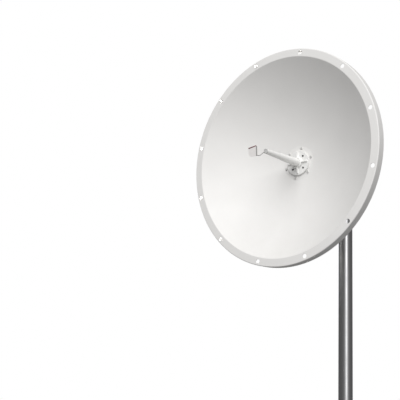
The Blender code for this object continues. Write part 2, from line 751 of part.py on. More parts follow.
def build_elevation_gear(tilt_bracket, pole_bracket):
    """Pivot bolt, lock bolt in its slot, and the threaded rod with its nuts."""
    fin = FIN_THICKNESS / 2
    cheek_face = CHEEK_LEFT + DISH_OFFSET
    across = (0, math.pi / 2, 0)
    hole = prism_mesh("cross_hole", BOLT_HOLE_RADIUS, -CLAMP_WIDTH / 2, CLAMP_WIDTH / 2, BORE_STEPS)
    pivot_hole = add_cutter("pivot_hole", hole, None, (0, -PIVOT_FORWARD, PIVOT_HEIGHT), across)
    lock_hole = add_cutter("lock_hole", hole, None, (0, -PIVOT_FORWARD, LOCK_HEIGHT), across)
    for bracket in (tilt_bracket, pole_bracket):
        cut(bracket, pivot_hole)
    cut(pole_bracket, lock_hole)
    start = math.pi / 2 - SLOT_HALF_ANGLE
    sweep = 2 * SLOT_HALF_ANGLE
    inner = LOCK_RADIUS - BOLT_HOLE_RADIUS
    outer = LOCK_RADIUS + BOLT_HOLE_RADIUS
    slot = circle_points(outer, (0, 0), ARC_STEPS, start, sweep)
    slot += circle_points(inner, (0, 0), ARC_STEPS, start + sweep, -sweep)
    slot_mesh = plate_mesh("lock_slot", slot, [], 2 * TILT_THICKNESS)
    stand = Matrix.Rotation(math.pi / 2, 4, "Y") @ Matrix.Rotation(math.pi / 2, 4, "Z")
    slot_mesh.transform(stand)
    slot_place = (cheek_face + TILT_THICKNESS / 2, -PIVOT_FORWARD, PIVOT_HEIGHT)
    cut(tilt_bracket, add_cutter("lock_slot", slot_mesh, None, slot_place))
    sizes = (BOLT_RADIUS, BOLT_FLATS, BOLT_HEAD_HEIGHT, NUT_HEIGHT)
    bolt = bolt_mesh("cross_bolt", fin - cheek_face, *sizes, washer=WASHER_THICKNESS)
    for name, height in (("pivot_bolt", PIVOT_HEIGHT), ("lock_bolt", LOCK_HEIGHT)):
        place = (cheek_face, -PIVOT_FORWARD, height)
        add_part(name, bolt, stainless, None, place, (0, -math.pi / 2, 0))
    build_elevation_rod(tilt_bracket, pole_bracket)


def build_elevation_rod(tilt_bracket, pole_bracket):
    """Upright threaded rod through both lugs, with a nut over and under each."""
    lug_mid = TILT_HEIGHT / 2 - UPPER_LUG_INSET + LUG_THICKNESS / 2
    sink = math.sin(TILT_DOWN) * (RIM_TO_POLE - PIVOT_FORWARD)
    upper_mid = DISH_HEIGHT + (lug_mid + sink) / math.cos(TILT_DOWN)
    lower_mid = LOWER_LUG_HEIGHT + LUG_THICKNESS / 2
    low = lower_mid - ROD_TAIL
    high = upper_mid + ROD_TAIL
    rod = prism_mesh("elevation_rod", BOLT_RADIUS, low, high, BORE_STEPS)
    soften(rod)
    place = (ROD_SIDE, -PIVOT_FORWARD, 0)
    add_part("elevation_rod", rod, stainless, None, place)
    hole = prism_mesh("rod_hole", BOLT_HOLE_RADIUS, low, high + CUT_PAST, BORE_STEPS)
    helper = add_cutter("rod_hole", hole, None, place)
    for bracket in (tilt_bracket, pole_bracket):
        cut(bracket, helper)
    nut = nut_mesh("rod_nut")
    tilt_lift = math.tan(TILT_DOWN) * hexagon_radius(BOLT_FLATS)
    offset = LUG_THICKNESS / 2 + NUT_HEIGHT / 2 + SEAT_GAP
    nut_heights = (
        lower_mid - offset,
        lower_mid + offset,
        upper_mid - offset - tilt_lift,
        upper_mid + offset + tilt_lift,
    )
    for i, height in enumerate(nut_heights):
        add_part(f"rod_nut_{i + 1}", nut, stainless, None, (place[0], place[1], height))


def build_pole_clamps():
    """Two U-bolts round the pole, with their nuts and saddles."""
    tip = CLAMP_FRONT - U_BOLT_TAIL
    bend = circle_points(U_BOLT_BEND, (0, 0), SMALL_STEPS, math.pi, -math.pi)
    path = [(-U_BOLT_BEND, tip, 0), *[(x, y, 0) for x, y in bend], (U_BOLT_BEND, tip, 0)]
    u_bolt = rod_mesh("u_bolt", path, BOLT_RADIUS)
    soften(u_bolt)
    nut = nut_mesh("u_bolt_nut")
    nut.transform(Matrix.Rotation(math.pi / 2, 4, "X"))
    reach = POLE_RADIUS + SEAT_GAP
    wrap = math.asin(SADDLE_WRAP / reach)
    front = -reach - SADDLE_DEPTH
    seat = circle_points(reach, (0, 0), 2 * ARC_STEPS, -math.pi / 2 + wrap, -2 * wrap)
    side = -reach * math.cos(wrap)
    outline = [
        (-SADDLE_HALF_WIDTH, side),
        (-SADDLE_HALF_WIDTH, front),
        (SADDLE_HALF_WIDTH, front),
        (SADDLE_HALF_WIDTH, side),
        *seat,
    ]
    saddle = plate_mesh("pole_saddle", outline, [], SADDLE_HEIGHT)
    nut_place = CLAMP_FRONT - NUT_HEIGHT / 2 - SEAT_GAP
    for level, height in zip(("lower", "upper"), u_bolt_heights):
        add_part(f"u_bolt_{level}", u_bolt, zinc, None, (0, 0, height))
        add_part(f"pole_saddle_{level}", saddle, zinc, None, (0, 0, height))
        for hand, x in (("left", -U_BOLT_BEND), ("right", U_BOLT_BEND)):
            name = f"u_bolt_nut_{level}_{hand}"
            add_part(name, nut, stainless, None, (x, nut_place, height))


def build_pole():
    """Hollow steel pole with a cap in its top."""
    low = FOOT_THICKNESS + SEAT_GAP
    inner = POLE_RADIUS - POLE_WALL
    wall = [(inner, POLE_TOP), (POLE_RADIUS, POLE_TOP), (POLE_RADIUS, low), (inner, low)]
    turned("mast_pole", wall, ROUND_STEPS, grey_steel, None, True)
    seat = POLE_TOP + SEAT_GAP
    brim = POLE_RADIUS + CAP_OVERHANG
    plug = inner - SEAT_GAP
    cap = [
        (0, seat + CAP_HEIGHT),
        (brim - CAP_CHAMFER, seat + CAP_HEIGHT),
        (brim, seat + CAP_HEIGHT - CAP_CHAMFER),
        (brim, seat),
        (plug, seat),
        (plug, seat - CAP_PLUG),
        (0, seat - CAP_PLUG),
    ]
    turned("pole_cap", cap, ROUND_STEPS, black_plastic, None, False)


def build_foot():
    """Square foot plate with anchor holes and four gussets round the pole."""
    half = FOOT_SIDE / 2
    corners = [(half, half), (-half, half), (-half, -half), (half, -half)]
    outline = rounded(corners, [FOOT_CORNER] * len(corners))
    anchor = ANCHOR_SPACING / 2
    places = [(x, y) for x in (-anchor, anchor) for y in (-anchor, anchor)]
    holes = [circle_points(ANCHOR_HOLE_RADIUS, place) for place in places]
    plate = plate_mesh("mast_foot", outline, holes, FOOT_THICKNESS)
    foot = add_part("mast_foot", plate, grey_steel, None, (0, 0, FOOT_THICKNESS / 2))
    near = POLE_RADIUS + SEAT_GAP
    far = near + GUSSET_LENGTH
    sunk = FOOT_THICKNESS / 2
    gusset = [
        (near, sunk),
        (far, sunk),
        (far, FOOT_THICKNESS + GUSSET_TOE),
        (near + GUSSET_TOE, FOOT_THICKNESS + GUSSET_HEIGHT),
        (near, FOOT_THICKNESS + GUSSET_HEIGHT),
    ]
    mesh = plate_mesh("foot_gusset", gusset, [], GUSSET_THICKNESS)
    for i in range(GUSSET_COUNT):
        turn = math.tau * i / GUSSET_COUNT
        fuse(foot, add_cutter(f"foot_gusset_{i + 1}", mesh, None, (0, 0, 0), (math.pi / 2, 0, turn)))


clear_scene()
parts = new_collection(PART_COLLECTION, False)
cutters = new_collection(CUTTER_COLLECTION, True)

white_paint = new_material("white_paint", (0.86, 0.86, 0.85), 0.45, 0.0)
white_cast = new_material("white_cast", (0.84, 0.84, 0.82), 0.5, 0.0)
end_grey = new_material("end_grey", (0.60, 0.60, 0.59), 0.5, 0.0)
pale_plate = new_material("pale_plate", (0.80, 0.81, 0.80), 0.4, 0.0)
red_strip = new_material("red_strip", (0.24, 0.07, 0.08), 0.5, 0.0)
grey_strip = new_material("grey_strip", (0.34, 0.33, 0.32), 0.5, 0.0)
dark_steel = new_material("dark_steel", (0.10, 0.10, 0.10), 0.4, 1.0)
stainless = new_material("stainless", (0.60, 0.60, 0.58), 0.3, 1.0)
zinc = new_material("zinc", (0.55, 0.56, 0.57), 0.45, 1.0)
brass = new_material("plated_brass", (0.66, 0.60, 0.45), 0.3, 1.0)
grey_steel = new_material("grey_steel", (0.30, 0.30, 0.31), 0.35, 1.0)
black_plastic = new_material("black_plastic", (0.03, 0.03, 0.03), 0.5, 0.0)

dish = bpy.data.objects.new("dish_frame", None)
parts.objects.link(dish)
dish.location = (DISH_OFFSET, -RIM_TO_POLE, DISH_HEIGHT)
dish.rotation_euler = (math.pi / 2 + TILT_DOWN, 0, 0)

bolt_turn = math.pi / (2 * HUB_BOLT_COUNT)
hub_places = ring_places(HUB_BOLT_COUNT, HUB_BOLT_CIRCLE, bolt_turn)
screw_places = ring_places(FEED_SCREW_COUNT, FEED_SCREW_CIRCLE, math.pi / FEED_SCREW_COUNT)
u_bolt_heights = [DISH_HEIGHT + side * U_BOLT_SPACING / 2 for side in (-1, 1)]

build_reflector()
build_feed_base()
build_feed_screws()
build_feed_tube()
build_splash_plate()
build_hub()
tilt_bracket = build_tilt_bracket()
pole_bracket = build_pole_bracket()
build_elevation_gear(tilt_bracket, pole_bracket)
build_pole_clamps()
build_pole()
build_foot()
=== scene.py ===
"""The looks of a microwave dish antenna on its pole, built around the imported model.

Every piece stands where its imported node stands, in metres, with +Z up. The dish looks along
-Y and slightly down, and its pole stands on the origin.
"""

import json
import logging
import math
from collections.abc import Callable, Iterable, Sequence
from dataclasses import dataclass, field
from enum import Enum
from typing import Any

import bmesh
import bpy
from mathutils import Euler, Matrix, Vector


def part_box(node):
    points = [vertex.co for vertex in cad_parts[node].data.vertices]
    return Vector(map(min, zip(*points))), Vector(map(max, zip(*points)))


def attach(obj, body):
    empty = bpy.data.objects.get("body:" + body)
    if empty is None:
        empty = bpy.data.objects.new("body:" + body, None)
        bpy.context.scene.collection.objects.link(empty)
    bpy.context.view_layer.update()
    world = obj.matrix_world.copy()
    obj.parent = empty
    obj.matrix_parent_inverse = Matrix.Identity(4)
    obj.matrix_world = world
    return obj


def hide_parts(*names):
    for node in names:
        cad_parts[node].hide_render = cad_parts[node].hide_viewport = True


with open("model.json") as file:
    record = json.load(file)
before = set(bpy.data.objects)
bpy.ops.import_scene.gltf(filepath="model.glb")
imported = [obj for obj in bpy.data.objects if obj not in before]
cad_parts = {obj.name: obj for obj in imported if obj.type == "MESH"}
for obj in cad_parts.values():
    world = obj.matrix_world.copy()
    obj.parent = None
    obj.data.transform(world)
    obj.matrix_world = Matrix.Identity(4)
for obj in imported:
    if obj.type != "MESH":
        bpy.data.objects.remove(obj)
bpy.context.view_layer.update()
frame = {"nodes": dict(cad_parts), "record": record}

MERGE_DISTANCE = 0.00001
CUT_PAST = 0.002
GAP = 0.0003
WELD_STEP = 0.0006
BEVEL_ANGLE = math.radians(40)
SHARP_ANGLE = math.radians(38)
QUARTER = math.pi / 2
TO_SIDE = Matrix.Rotation(QUARTER, 4, "X")
ACROSS = Matrix.Rotation(QUARTER, 4, "Y")

log = logging.getLogger("antenna")

Outline = list[tuple[float, float]]
Colour = tuple[float, float, float]
RadiusAt = Callable[[float, float], float]


class Slot(Enum):
    """The finishes that the part's record names."""

    REFLECTOR_WHITE = "reflector_white"
    FEED_WHITE = "feed_white"
    END_GREY = "end_grey"
    SPLASH_GREY = "splash_grey"
    STRIP_RED = "strip_red"
    # Dark grey for the plate's side strip and the stay: partly painted shade, standing in for shaded edge
    # lines ahead of the tube.
    STRIP_DARK_PAINTED_SHADE = "strip_dark"
    DARK_SCREW = "dark_screw"
    STAINLESS = "stainless"
    GALVANISED = "galvanised"
    PLATED_BRASS = "plated_brass"
    POLE_STEEL = "pole_steel"
    CAP_BLACK = "cap_black"


class Joining(Enum):
    """How one solid changes another."""

    CUT = "DIFFERENCE"
    JOIN = "UNION"
    KEEP = "INTERSECT"


class Effect(Enum):
    """Surface effects that several finishes share, each one a node group."""

    GRAIN = "fine_grain"
    RINGS = "spinning_rings"
    SPANGLE = "zinc_spangle"
    DRAWN = "drawn_lines"
    WEAR = "edge_wear"
    DUST = "settled_dust"


def arc(centre: tuple[float, float], radius: float, start: float, sweep: float, steps: int) -> Outline:
    """Points along part of a circle, both ends included, clockwise where the sweep is negative."""
    angles = [start + sweep * i / steps for i in range(steps + 1)]
    return [(centre[0] + radius * math.cos(a), centre[1] + radius * math.sin(a)) for a in angles]


def ring_places(count: int, radius: float, start: float = 0.0) -> Outline:
    """Points spread evenly round a circle, the first one at the start angle."""
    return arc((0.0, 0.0), radius, start, math.tau * (count - 1) / count, count - 1)


def section(inner: float, outer: float, first: float, last: float) -> Outline:
    """Corners of a rectangle of radius and height, those at the first height first."""
    return [(inner, first), (outer, first), (outer, last), (inner, last)]


def panel(wide: float, tall: float, corner: float, steps: int) -> Outline:
    """A rectangle about the origin with round corners, given by half its width and height."""
    return rounded([(wide, tall), (-wide, tall), (-wide, -tall), (wide, -tall)], [corner] * 4, steps)


def rounded(points: Outline, radii: Sequence[float], steps: int = 6, closed: bool = True) -> Outline:
    """A polygon or an open line with an arc at each corner that has a radius.

    Args:
        points: The corners.
        radii: One radius for each corner, zero to keep it.
        steps: Chords in each arc.
        closed: False leaves both ends of the line alone.

    Returns:
        The corners with their arcs put in.
    """
    outline: Outline = []
    for i, (x, y) in enumerate(points):
        at_end = not closed and i in (0, len(points) - 1)
        if at_end or radii[i] == 0:
            outline.append((x, y))
            continue
        before, after = points[i - 1], points[(i + 1) % len(points)]
        back = math.atan2(before[1] - y, before[0] - x)
        ahead = math.atan2(after[1] - y, after[0] - x)
        turn = (ahead - back + math.pi) % math.tau - math.pi
        span = math.hypot(radii[i], radii[i] / math.tan(abs(turn) / 2))
        middle = back + turn / 2
        centre = (x + span * math.cos(middle), y + span * math.sin(middle))
        start = back - math.copysign(QUARTER, turn)
        outline += arc(centre, radii[i], start, turn - math.copysign(math.pi, turn), steps)
    return outline


def sheet_outline(front: Outline, thickness: float) -> Outline:
    """The closed outline of a sheet whose front face is an open line.

    Args:
        front: Points of the front face. The sheet lies on the right of its direction.
        thickness: Thickness of the sheet.

    Returns:
        The front face and then the rear face back to the start.
    """
    rear: Outline = []
    for i, (x, y) in enumerate(front):
        runs = []
        for first, second in ((i - 1, i), (i, i + 1)):
            if first >= 0 and second < len(front):
                runs.append((Vector(front[second]) - Vector(front[first])).normalized())
        normal = sum((Vector((run.y, -run.x)) for run in runs), Vector((0.0, 0.0))).normalized()
        stretch = thickness / normal.dot(Vector((runs[0].y, -runs[0].x)))
        rear.append((x + normal.x * stretch, y + normal.y * stretch))
    return front + rear[::-1]


def straight(start: Vector, end: Vector, step: float) -> list[Vector]:
    """Evenly spaced points on a line with both its ends, no two further apart than a step."""
    count = max(1, math.ceil((end - start).length / step))
    return [start.lerp(end, i / count) for i in range(count + 1)]


def bent(points: Sequence[Vector], radius: float, steps: int = 8) -> list[Vector]:
    """A line of points with an arc at each inner corner, as a bent wire has.

    Args:
        points: Corners of the wire.
        radius: Bending radius.
        steps: Chords in each bend.

    Returns:
        The points of the bent line.
    """
    path = [points[0]]
    for before, corner, after in zip(points, points[1:], points[2:]):
        back = (before - corner).normalized()
        ahead = (after - corner).normalized()
        half = back.angle(ahead) / 2
        reach = radius / math.tan(half)
        centre = corner + (back + ahead).normalized() * (radius / math.sin(half))
        start = corner + back * reach - centre
        end = corner + ahead * reach - centre
        path += [centre + start.slerp(end, i / steps) * radius for i in range(steps + 1)]
    return [*path, points[-1]]


def path_length(path: Sequence[Vector]) -> float:
    """Length of a line of points."""
    return sum((b - a).length for a, b in zip(path, path[1:]))


def bar_places(path: Sequence[Vector]) -> list[tuple[float, Matrix]]:
    """A distance and a placing matrix for each point of a bar's path.

    Args:
        path: Points along the middle of the bar.

    Returns:
        The distance from the start, and a matrix whose Z runs along the path.
    """
    places = []
    run = 0.0
    way = (path[1] - path[0]).normalized()
    turn = way.to_track_quat("Z", "Y")
    for i, point in enumerate(path):
        before = path[max(i - 1, 0)]
        new_way = (path[min(i + 1, len(path) - 1)] - before).normalized()
        turn = way.rotation_difference(new_way) @ turn
        way = new_way
        run += (point - before).length
        places.append((run, Matrix.Translation(point) @ turn.to_matrix().to_4x4()))
    return places


class Solid:
    """A closed mesh that is still being shaped. Its methods change it and hand it on."""

    def __init__(self) -> None:
        """Starts with an empty mesh."""
        self.mesh = bmesh.new()

    @classmethod
    def turned(cls, profile: Outline, steps: int) -> "Solid":
        """A piece turned about Z.

        Args:
            profile: Closed outline of radius and height. It may lie on the axis.
            steps: Number of steps in a full turn.

        Returns:
            The turned solid.
        """
        solid = cls()
        verts = [solid.mesh.verts.new((radius, 0.0, height)) for radius, height in profile]
        pairs = list(zip(verts, verts[1:]))
        if profile[0][0] > 0 or profile[-1][0] > 0:
            pairs.append((verts[-1], verts[0]))
        edges = [solid.mesh.edges.new(pair) for pair in pairs]
        bmesh.ops.spin(
            solid.mesh, geom=verts + edges, cent=(0, 0, 0), axis=(0, 0, 1), dvec=(0, 0, 0),
            angle=math.tau, steps=steps, use_merge=True, use_duplicate=False,
        )
        return solid.welded()

    @classmethod
    def plate(cls, outline: Outline, low: float, high: float) -> "Solid":
        """A flat plate raised from an outline in the XY plane.

        Args:
            outline: Corners of the plate.
            low: Height of its underside.
            high: Height of its top.

        Returns:
            The plate.
        """
        solid = cls()
        face = solid.mesh.faces.new([solid.mesh.verts.new((x, y, low)) for x, y in outline])
        raised = bmesh.ops.extrude_face_region(solid.mesh, geom=[face])["geom"]
        verts = [item for item in raised if isinstance(item, bmesh.types.BMVert)]
        bmesh.ops.translate(solid.mesh, verts=verts, vec=(0, 0, high - low))
        return solid.welded()

    @classmethod
    def block(cls, low: Sequence[float], high: Sequence[float]) -> "Solid":
        """A box between its lowest and its highest corner."""
        return cls.plate(section(low[0], high[0], low[1], high[1]), low[2], high[2])

    @classmethod
    def bar(cls, path: Sequence[Vector], radius_at: RadiusAt, sides: int = 20) -> "Solid":
        """A bar along a line of points, whose radius may change along it and round it.

        Args:
            path: Points along the middle of the bar.
            radius_at: Radius for a distance along the bar and an angle round it.
            sides: Number of flats round the bar.

        Returns:
            The bar, closed at both ends.
        """
        solid = cls()
        last = len(path) - 1
        bmesh.ops.create_cone(solid.mesh, cap_ends=True, segments=sides, radius1=1.0, radius2=1.0, depth=last)
        rails = [e for e in solid.mesh.edges if abs(e.verts[0].co.z - e.verts[1].co.z) > last / 2]
        if last > 1:
            bmesh.ops.subdivide_edges(solid.mesh, edges=rails, cuts=last - 1, use_grid_fill=True)
        places = bar_places(path)
        for vert in solid.mesh.verts:
            run, place = places[round(vert.co.z + last / 2)]
            angle = math.atan2(vert.co.y, vert.co.x)
            radius = radius_at(run, angle)
            vert.co = place @ Vector((radius * math.cos(angle), radius * math.sin(angle), 0.0))
        return solid.welded()

    @classmethod
    def bore(cls, radius: float, low: float, high: float, edge: float = 0.0003, sides: int = 32) -> "Solid":
        """The waste of a drilled hole whose two edges are broken.

        Args:
            radius: Radius of the hole.
            low: Height of the plate's underside.
            high: Height of the plate's top.
            edge: Width of the broken edges.
            sides: Number of flats round the hole.

        Returns:
            A pin to cut with, standing past both faces.
        """
        top, bottom = high + CUT_PAST, low - CUT_PAST
        flare = radius + edge + CUT_PAST
        profile = [(0.0, top), (flare, top), (radius, high - edge), (radius, low + edge), (flare, bottom)]
        return cls.turned([*profile, (0.0, bottom)], sides)

    @classmethod
    def bores(cls, places: Outline, *sizes: float, sides: int = 32) -> list["Solid"]:
        """Wastes of bores of the same sizes, one at each place."""
        return [cls.bore(*sizes, sides=sides).shifted(x, y) for x, y in places]

    @classmethod
    def group(cls, solids: Sequence["Solid"]) -> "Solid":
        """Several solids that don't overlap, as one.

        Args:
            solids: The solids to gather. They are used up.

        Returns:
            One solid of as many shells.
        """
        whole = solids[0]
        for other in solids[1:]:
            data = bpy.data.meshes.new("shell")
            other.mesh.to_mesh(data)
            other.mesh.free()
            whole.mesh.from_mesh(data)
            bpy.data.meshes.remove(data)
        return whole

    def copy(self) -> "Solid":
        """A second solid of the same shape.

        Returns:
            The copy.
        """
        twin = Solid()
        twin.mesh = self.mesh.copy()
        return twin

    def welded(self) -> "Solid":
        """Joins the doubles and points the faces out.

        Returns:
            The same solid.
        """
        bmesh.ops.remove_doubles(self.mesh, verts=self.mesh.verts, dist=MERGE_DISTANCE)
        bmesh.ops.recalc_face_normals(self.mesh, faces=self.mesh.faces)
        return self

    def moved(self, place: Matrix) -> "Solid":
        """Places the solid by a matrix."""
        bmesh.ops.transform(self.mesh, matrix=place, verts=self.mesh.verts)
        return self

    def shifted(self, x: float = 0.0, y: float = 0.0, z: float = 0.0) -> "Solid":
        """Moves the solid along the axes."""
        return self.moved(Matrix.Translation((x, y, z)))

    def softened(self, width: float, segments: int = 2) -> "Solid":
        """Bevels the sharp edges.

        Args:
            width: Width of the bevel.
            segments: Number of facets across it.

        Returns:
            The same solid.
        """
        edges = [e for e in self.mesh.edges if e.is_manifold and e.calc_face_angle(0.0) > BEVEL_ANGLE]
        bmesh.ops.bevel(
            self.mesh, geom=edges, offset=width, offset_type="OFFSET", segments=segments,
            profile=0.5, affect="EDGES", clamp_overlap=True, material=-1,
        )
        return self.welded()

    def combined(self, other: "Solid", joining: Joining) -> "Solid":
        """Cuts, joins or keeps what is shared with another solid, which is used up.

        Args:
            other: The solid to work with.
            joining: What is done.

        Returns:
            The same solid, changed.
        """
        target = self.loose_object("target")
        helper = other.loose_object("helper")
        modifier = target.modifiers.new("combine", "BOOLEAN")
        modifier.operation = joining.value
        modifier.solver = "EXACT"
        modifier.object = helper
        self.take_from(target)
        other.mesh.free()
        bpy.data.objects.remove(helper, do_unlink=True)
        return self.welded()

    def cut(self, *tools: "Solid") -> "Solid":
        """Takes away the tools, which don't overlap each other."""
        return self.combined(Solid.group(tools), Joining.CUT)

    def joined(self, *others: "Solid") -> "Solid":
        """Joins others to the solid one after another.

        Args:
            *others: The solids to join. They are used up.

        Returns:
            The same solid, changed.
        """
        for other in others:
            self.combined(other, Joining.JOIN)
        return self

    def cast(self, voxel: float, rounds: int) -> "Solid":
        """Melts overlapping shells into one body with rounded edges and corners.

        Args:
            voxel: Size of the new mesh's faces.
            rounds: How often the surface is smoothed.

        Returns:
            The same solid, changed.
        """
        target = self.loose_object("pattern")
        remesh = target.modifiers.new("remesh", "REMESH")
        remesh.mode = "VOXEL"
        remesh.voxel_size = voxel
        smooth = target.modifiers.new("smooth", "SMOOTH")
        smooth.factor = 0.5
        smooth.iterations = rounds
        self.take_from(target)
        return self.welded()

    def loose_object(self, name: str) -> bpy.types.Object:
        """A plain object with this mesh, for modifiers to work on.

        Args:
            name: Name of the object.

        Returns:
            The object, in the scene.
        """
        data = bpy.data.meshes.new(name)
        self.mesh.to_mesh(data)
        item = bpy.data.objects.new(name, data)
        bpy.context.scene.collection.objects.link(item)
        return item

    def take_from(self, item: bpy.types.Object) -> None:
        """Takes an object's shape with its modifiers applied, and removes the object.

        Args:
            item: The object.
        """
        bpy.context.view_layer.update()
        graph = bpy.context.evaluated_depsgraph_get()
        shaped = bpy.data.meshes.new_from_object(item.evaluated_get(graph))
        self.mesh.clear()
        self.mesh.from_mesh(shaped)
        bpy.data.meshes.remove(shaped)
        bpy.data.objects.remove(item, do_unlink=True)


@dataclass(frozen=True)
class NodeBox:
    """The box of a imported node."""

    low: Vector
    high: Vector

    @classmethod
    def of(cls, node: str) -> "NodeBox":
        """The box of the node with this name."""
        return cls(*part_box(node))

    @property
    def centre(self) -> Vector:
        """Middle of the box."""
        return (self.low + self.high) / 2

    @property
    def size(self) -> Vector:
        """Lengths of the box's sides."""
        return self.high - self.low


@dataclass(frozen=True)
class DishFrame:
    """Where the dish stands: its rim's middle, with +Z out along the axis and +Y up."""

    rim_width: float = 0.036
    mount: str = "radome_seat"

    @property
    def outer_radius(self) -> float:
        """Radius of the rim's outer edge."""
        return NodeBox.of("reflector").size.x / 2

    @property
    def rim_circle(self) -> float:
        """Radius of the circle of rim holes."""
        return self.outer_radius - self.rim_width / 2

    @property
    def place(self) -> Matrix:
        """Matrix from the dish's own frame to the scene.

        Returns:
            The placing matrix.
        """
        seat = next(m for m in frame["record"]["mounts"] if m["name"] == self.mount)
        ahead = Vector(seat["axis"]).normalized()
        right = Vector((1, 0, 0))
        up = ahead.cross(right).normalized()
        turn = Matrix((right, up, ahead)).transposed().to_4x4()
        return Matrix.Translation(Vector(seat["pos_m"]) - up * self.rim_circle) @ turn


class Bench:
    """Places and joins shader nodes in one tree."""

    def __init__(self, tree: bpy.types.NodeTree) -> None:
        """Works on the given tree."""
        self.tree = tree

    def add(self, kind: str, inputs: dict[Any, Any] | None = None, **settings: Any) -> bpy.types.Node:
        """Adds a node.

        Args:
            kind: The node's type name.
            inputs: Values or sockets for its inputs, by name or number.
            settings: Values for its properties.

        Returns:
            The node.
        """
        node = self.tree.nodes.new(kind)
        for name, value in settings.items():
            setattr(node, name, value)
        for key, value in (inputs or {}).items():
            if isinstance(value, bpy.types.NodeSocket):
                self.tree.links.new(value, node.inputs[key])
            else:
                node.inputs[key].default_value = value
        return node

    def math(self, operation: str, first: Any, second: Any) -> Any:
        """The socket of a calculation on two values, kept between zero and one."""
        inputs = {0: first, 1: second}
        return self.add("ShaderNodeMath", inputs, operation=operation, use_clamp=True).outputs[0]

    def vector(self, operation: str, *parts: Any) -> Any:
        """The output sockets of a calculation on vectors."""
        return self.add("ShaderNodeVectorMath", dict(enumerate(parts)), operation=operation).outputs

    def noise(self, vector: Any, scale: Any, detail: float = 3.0, output: str = "Fac") -> Any:
        """The socket of smooth noise, whose scale is in grains per metre."""
        inputs = {"Vector": vector, "Scale": scale, "Detail": detail}
        return self.add("ShaderNodeTexNoise", inputs, noise_dimensions="3D").outputs[output]

    def spread(self, value: Any, low: Any, high: Any, start: float = 0.0, end: float = 1.0) -> Any:
        """The socket of a value carried from the range low to high to the range start to end."""
        inputs = {"Value": value, "From Min": low, "From Max": high, "To Min": start, "To Max": end}
        return self.add("ShaderNodeMapRange", inputs, clamp=True).outputs["Result"]

    def blend(self, share: Any, first: Any, second: Any) -> Any:
        """The socket of a mix of two colours, by the share of the second."""
        first, second = [(*c, 1.0) if isinstance(c, tuple) else c for c in (first, second)]
        return self.add("ShaderNodeMix", {0: share, 6: first, 7: second}, data_type="RGBA").outputs[2]

    def effect(self, effect: Effect, **inputs: Any) -> Any:
        """The output sockets of a shared effect, given the values or sockets of its inputs."""
        return self.add("ShaderNodeGroup", inputs, node_tree=EffectGroup.tree_for(effect)).outputs


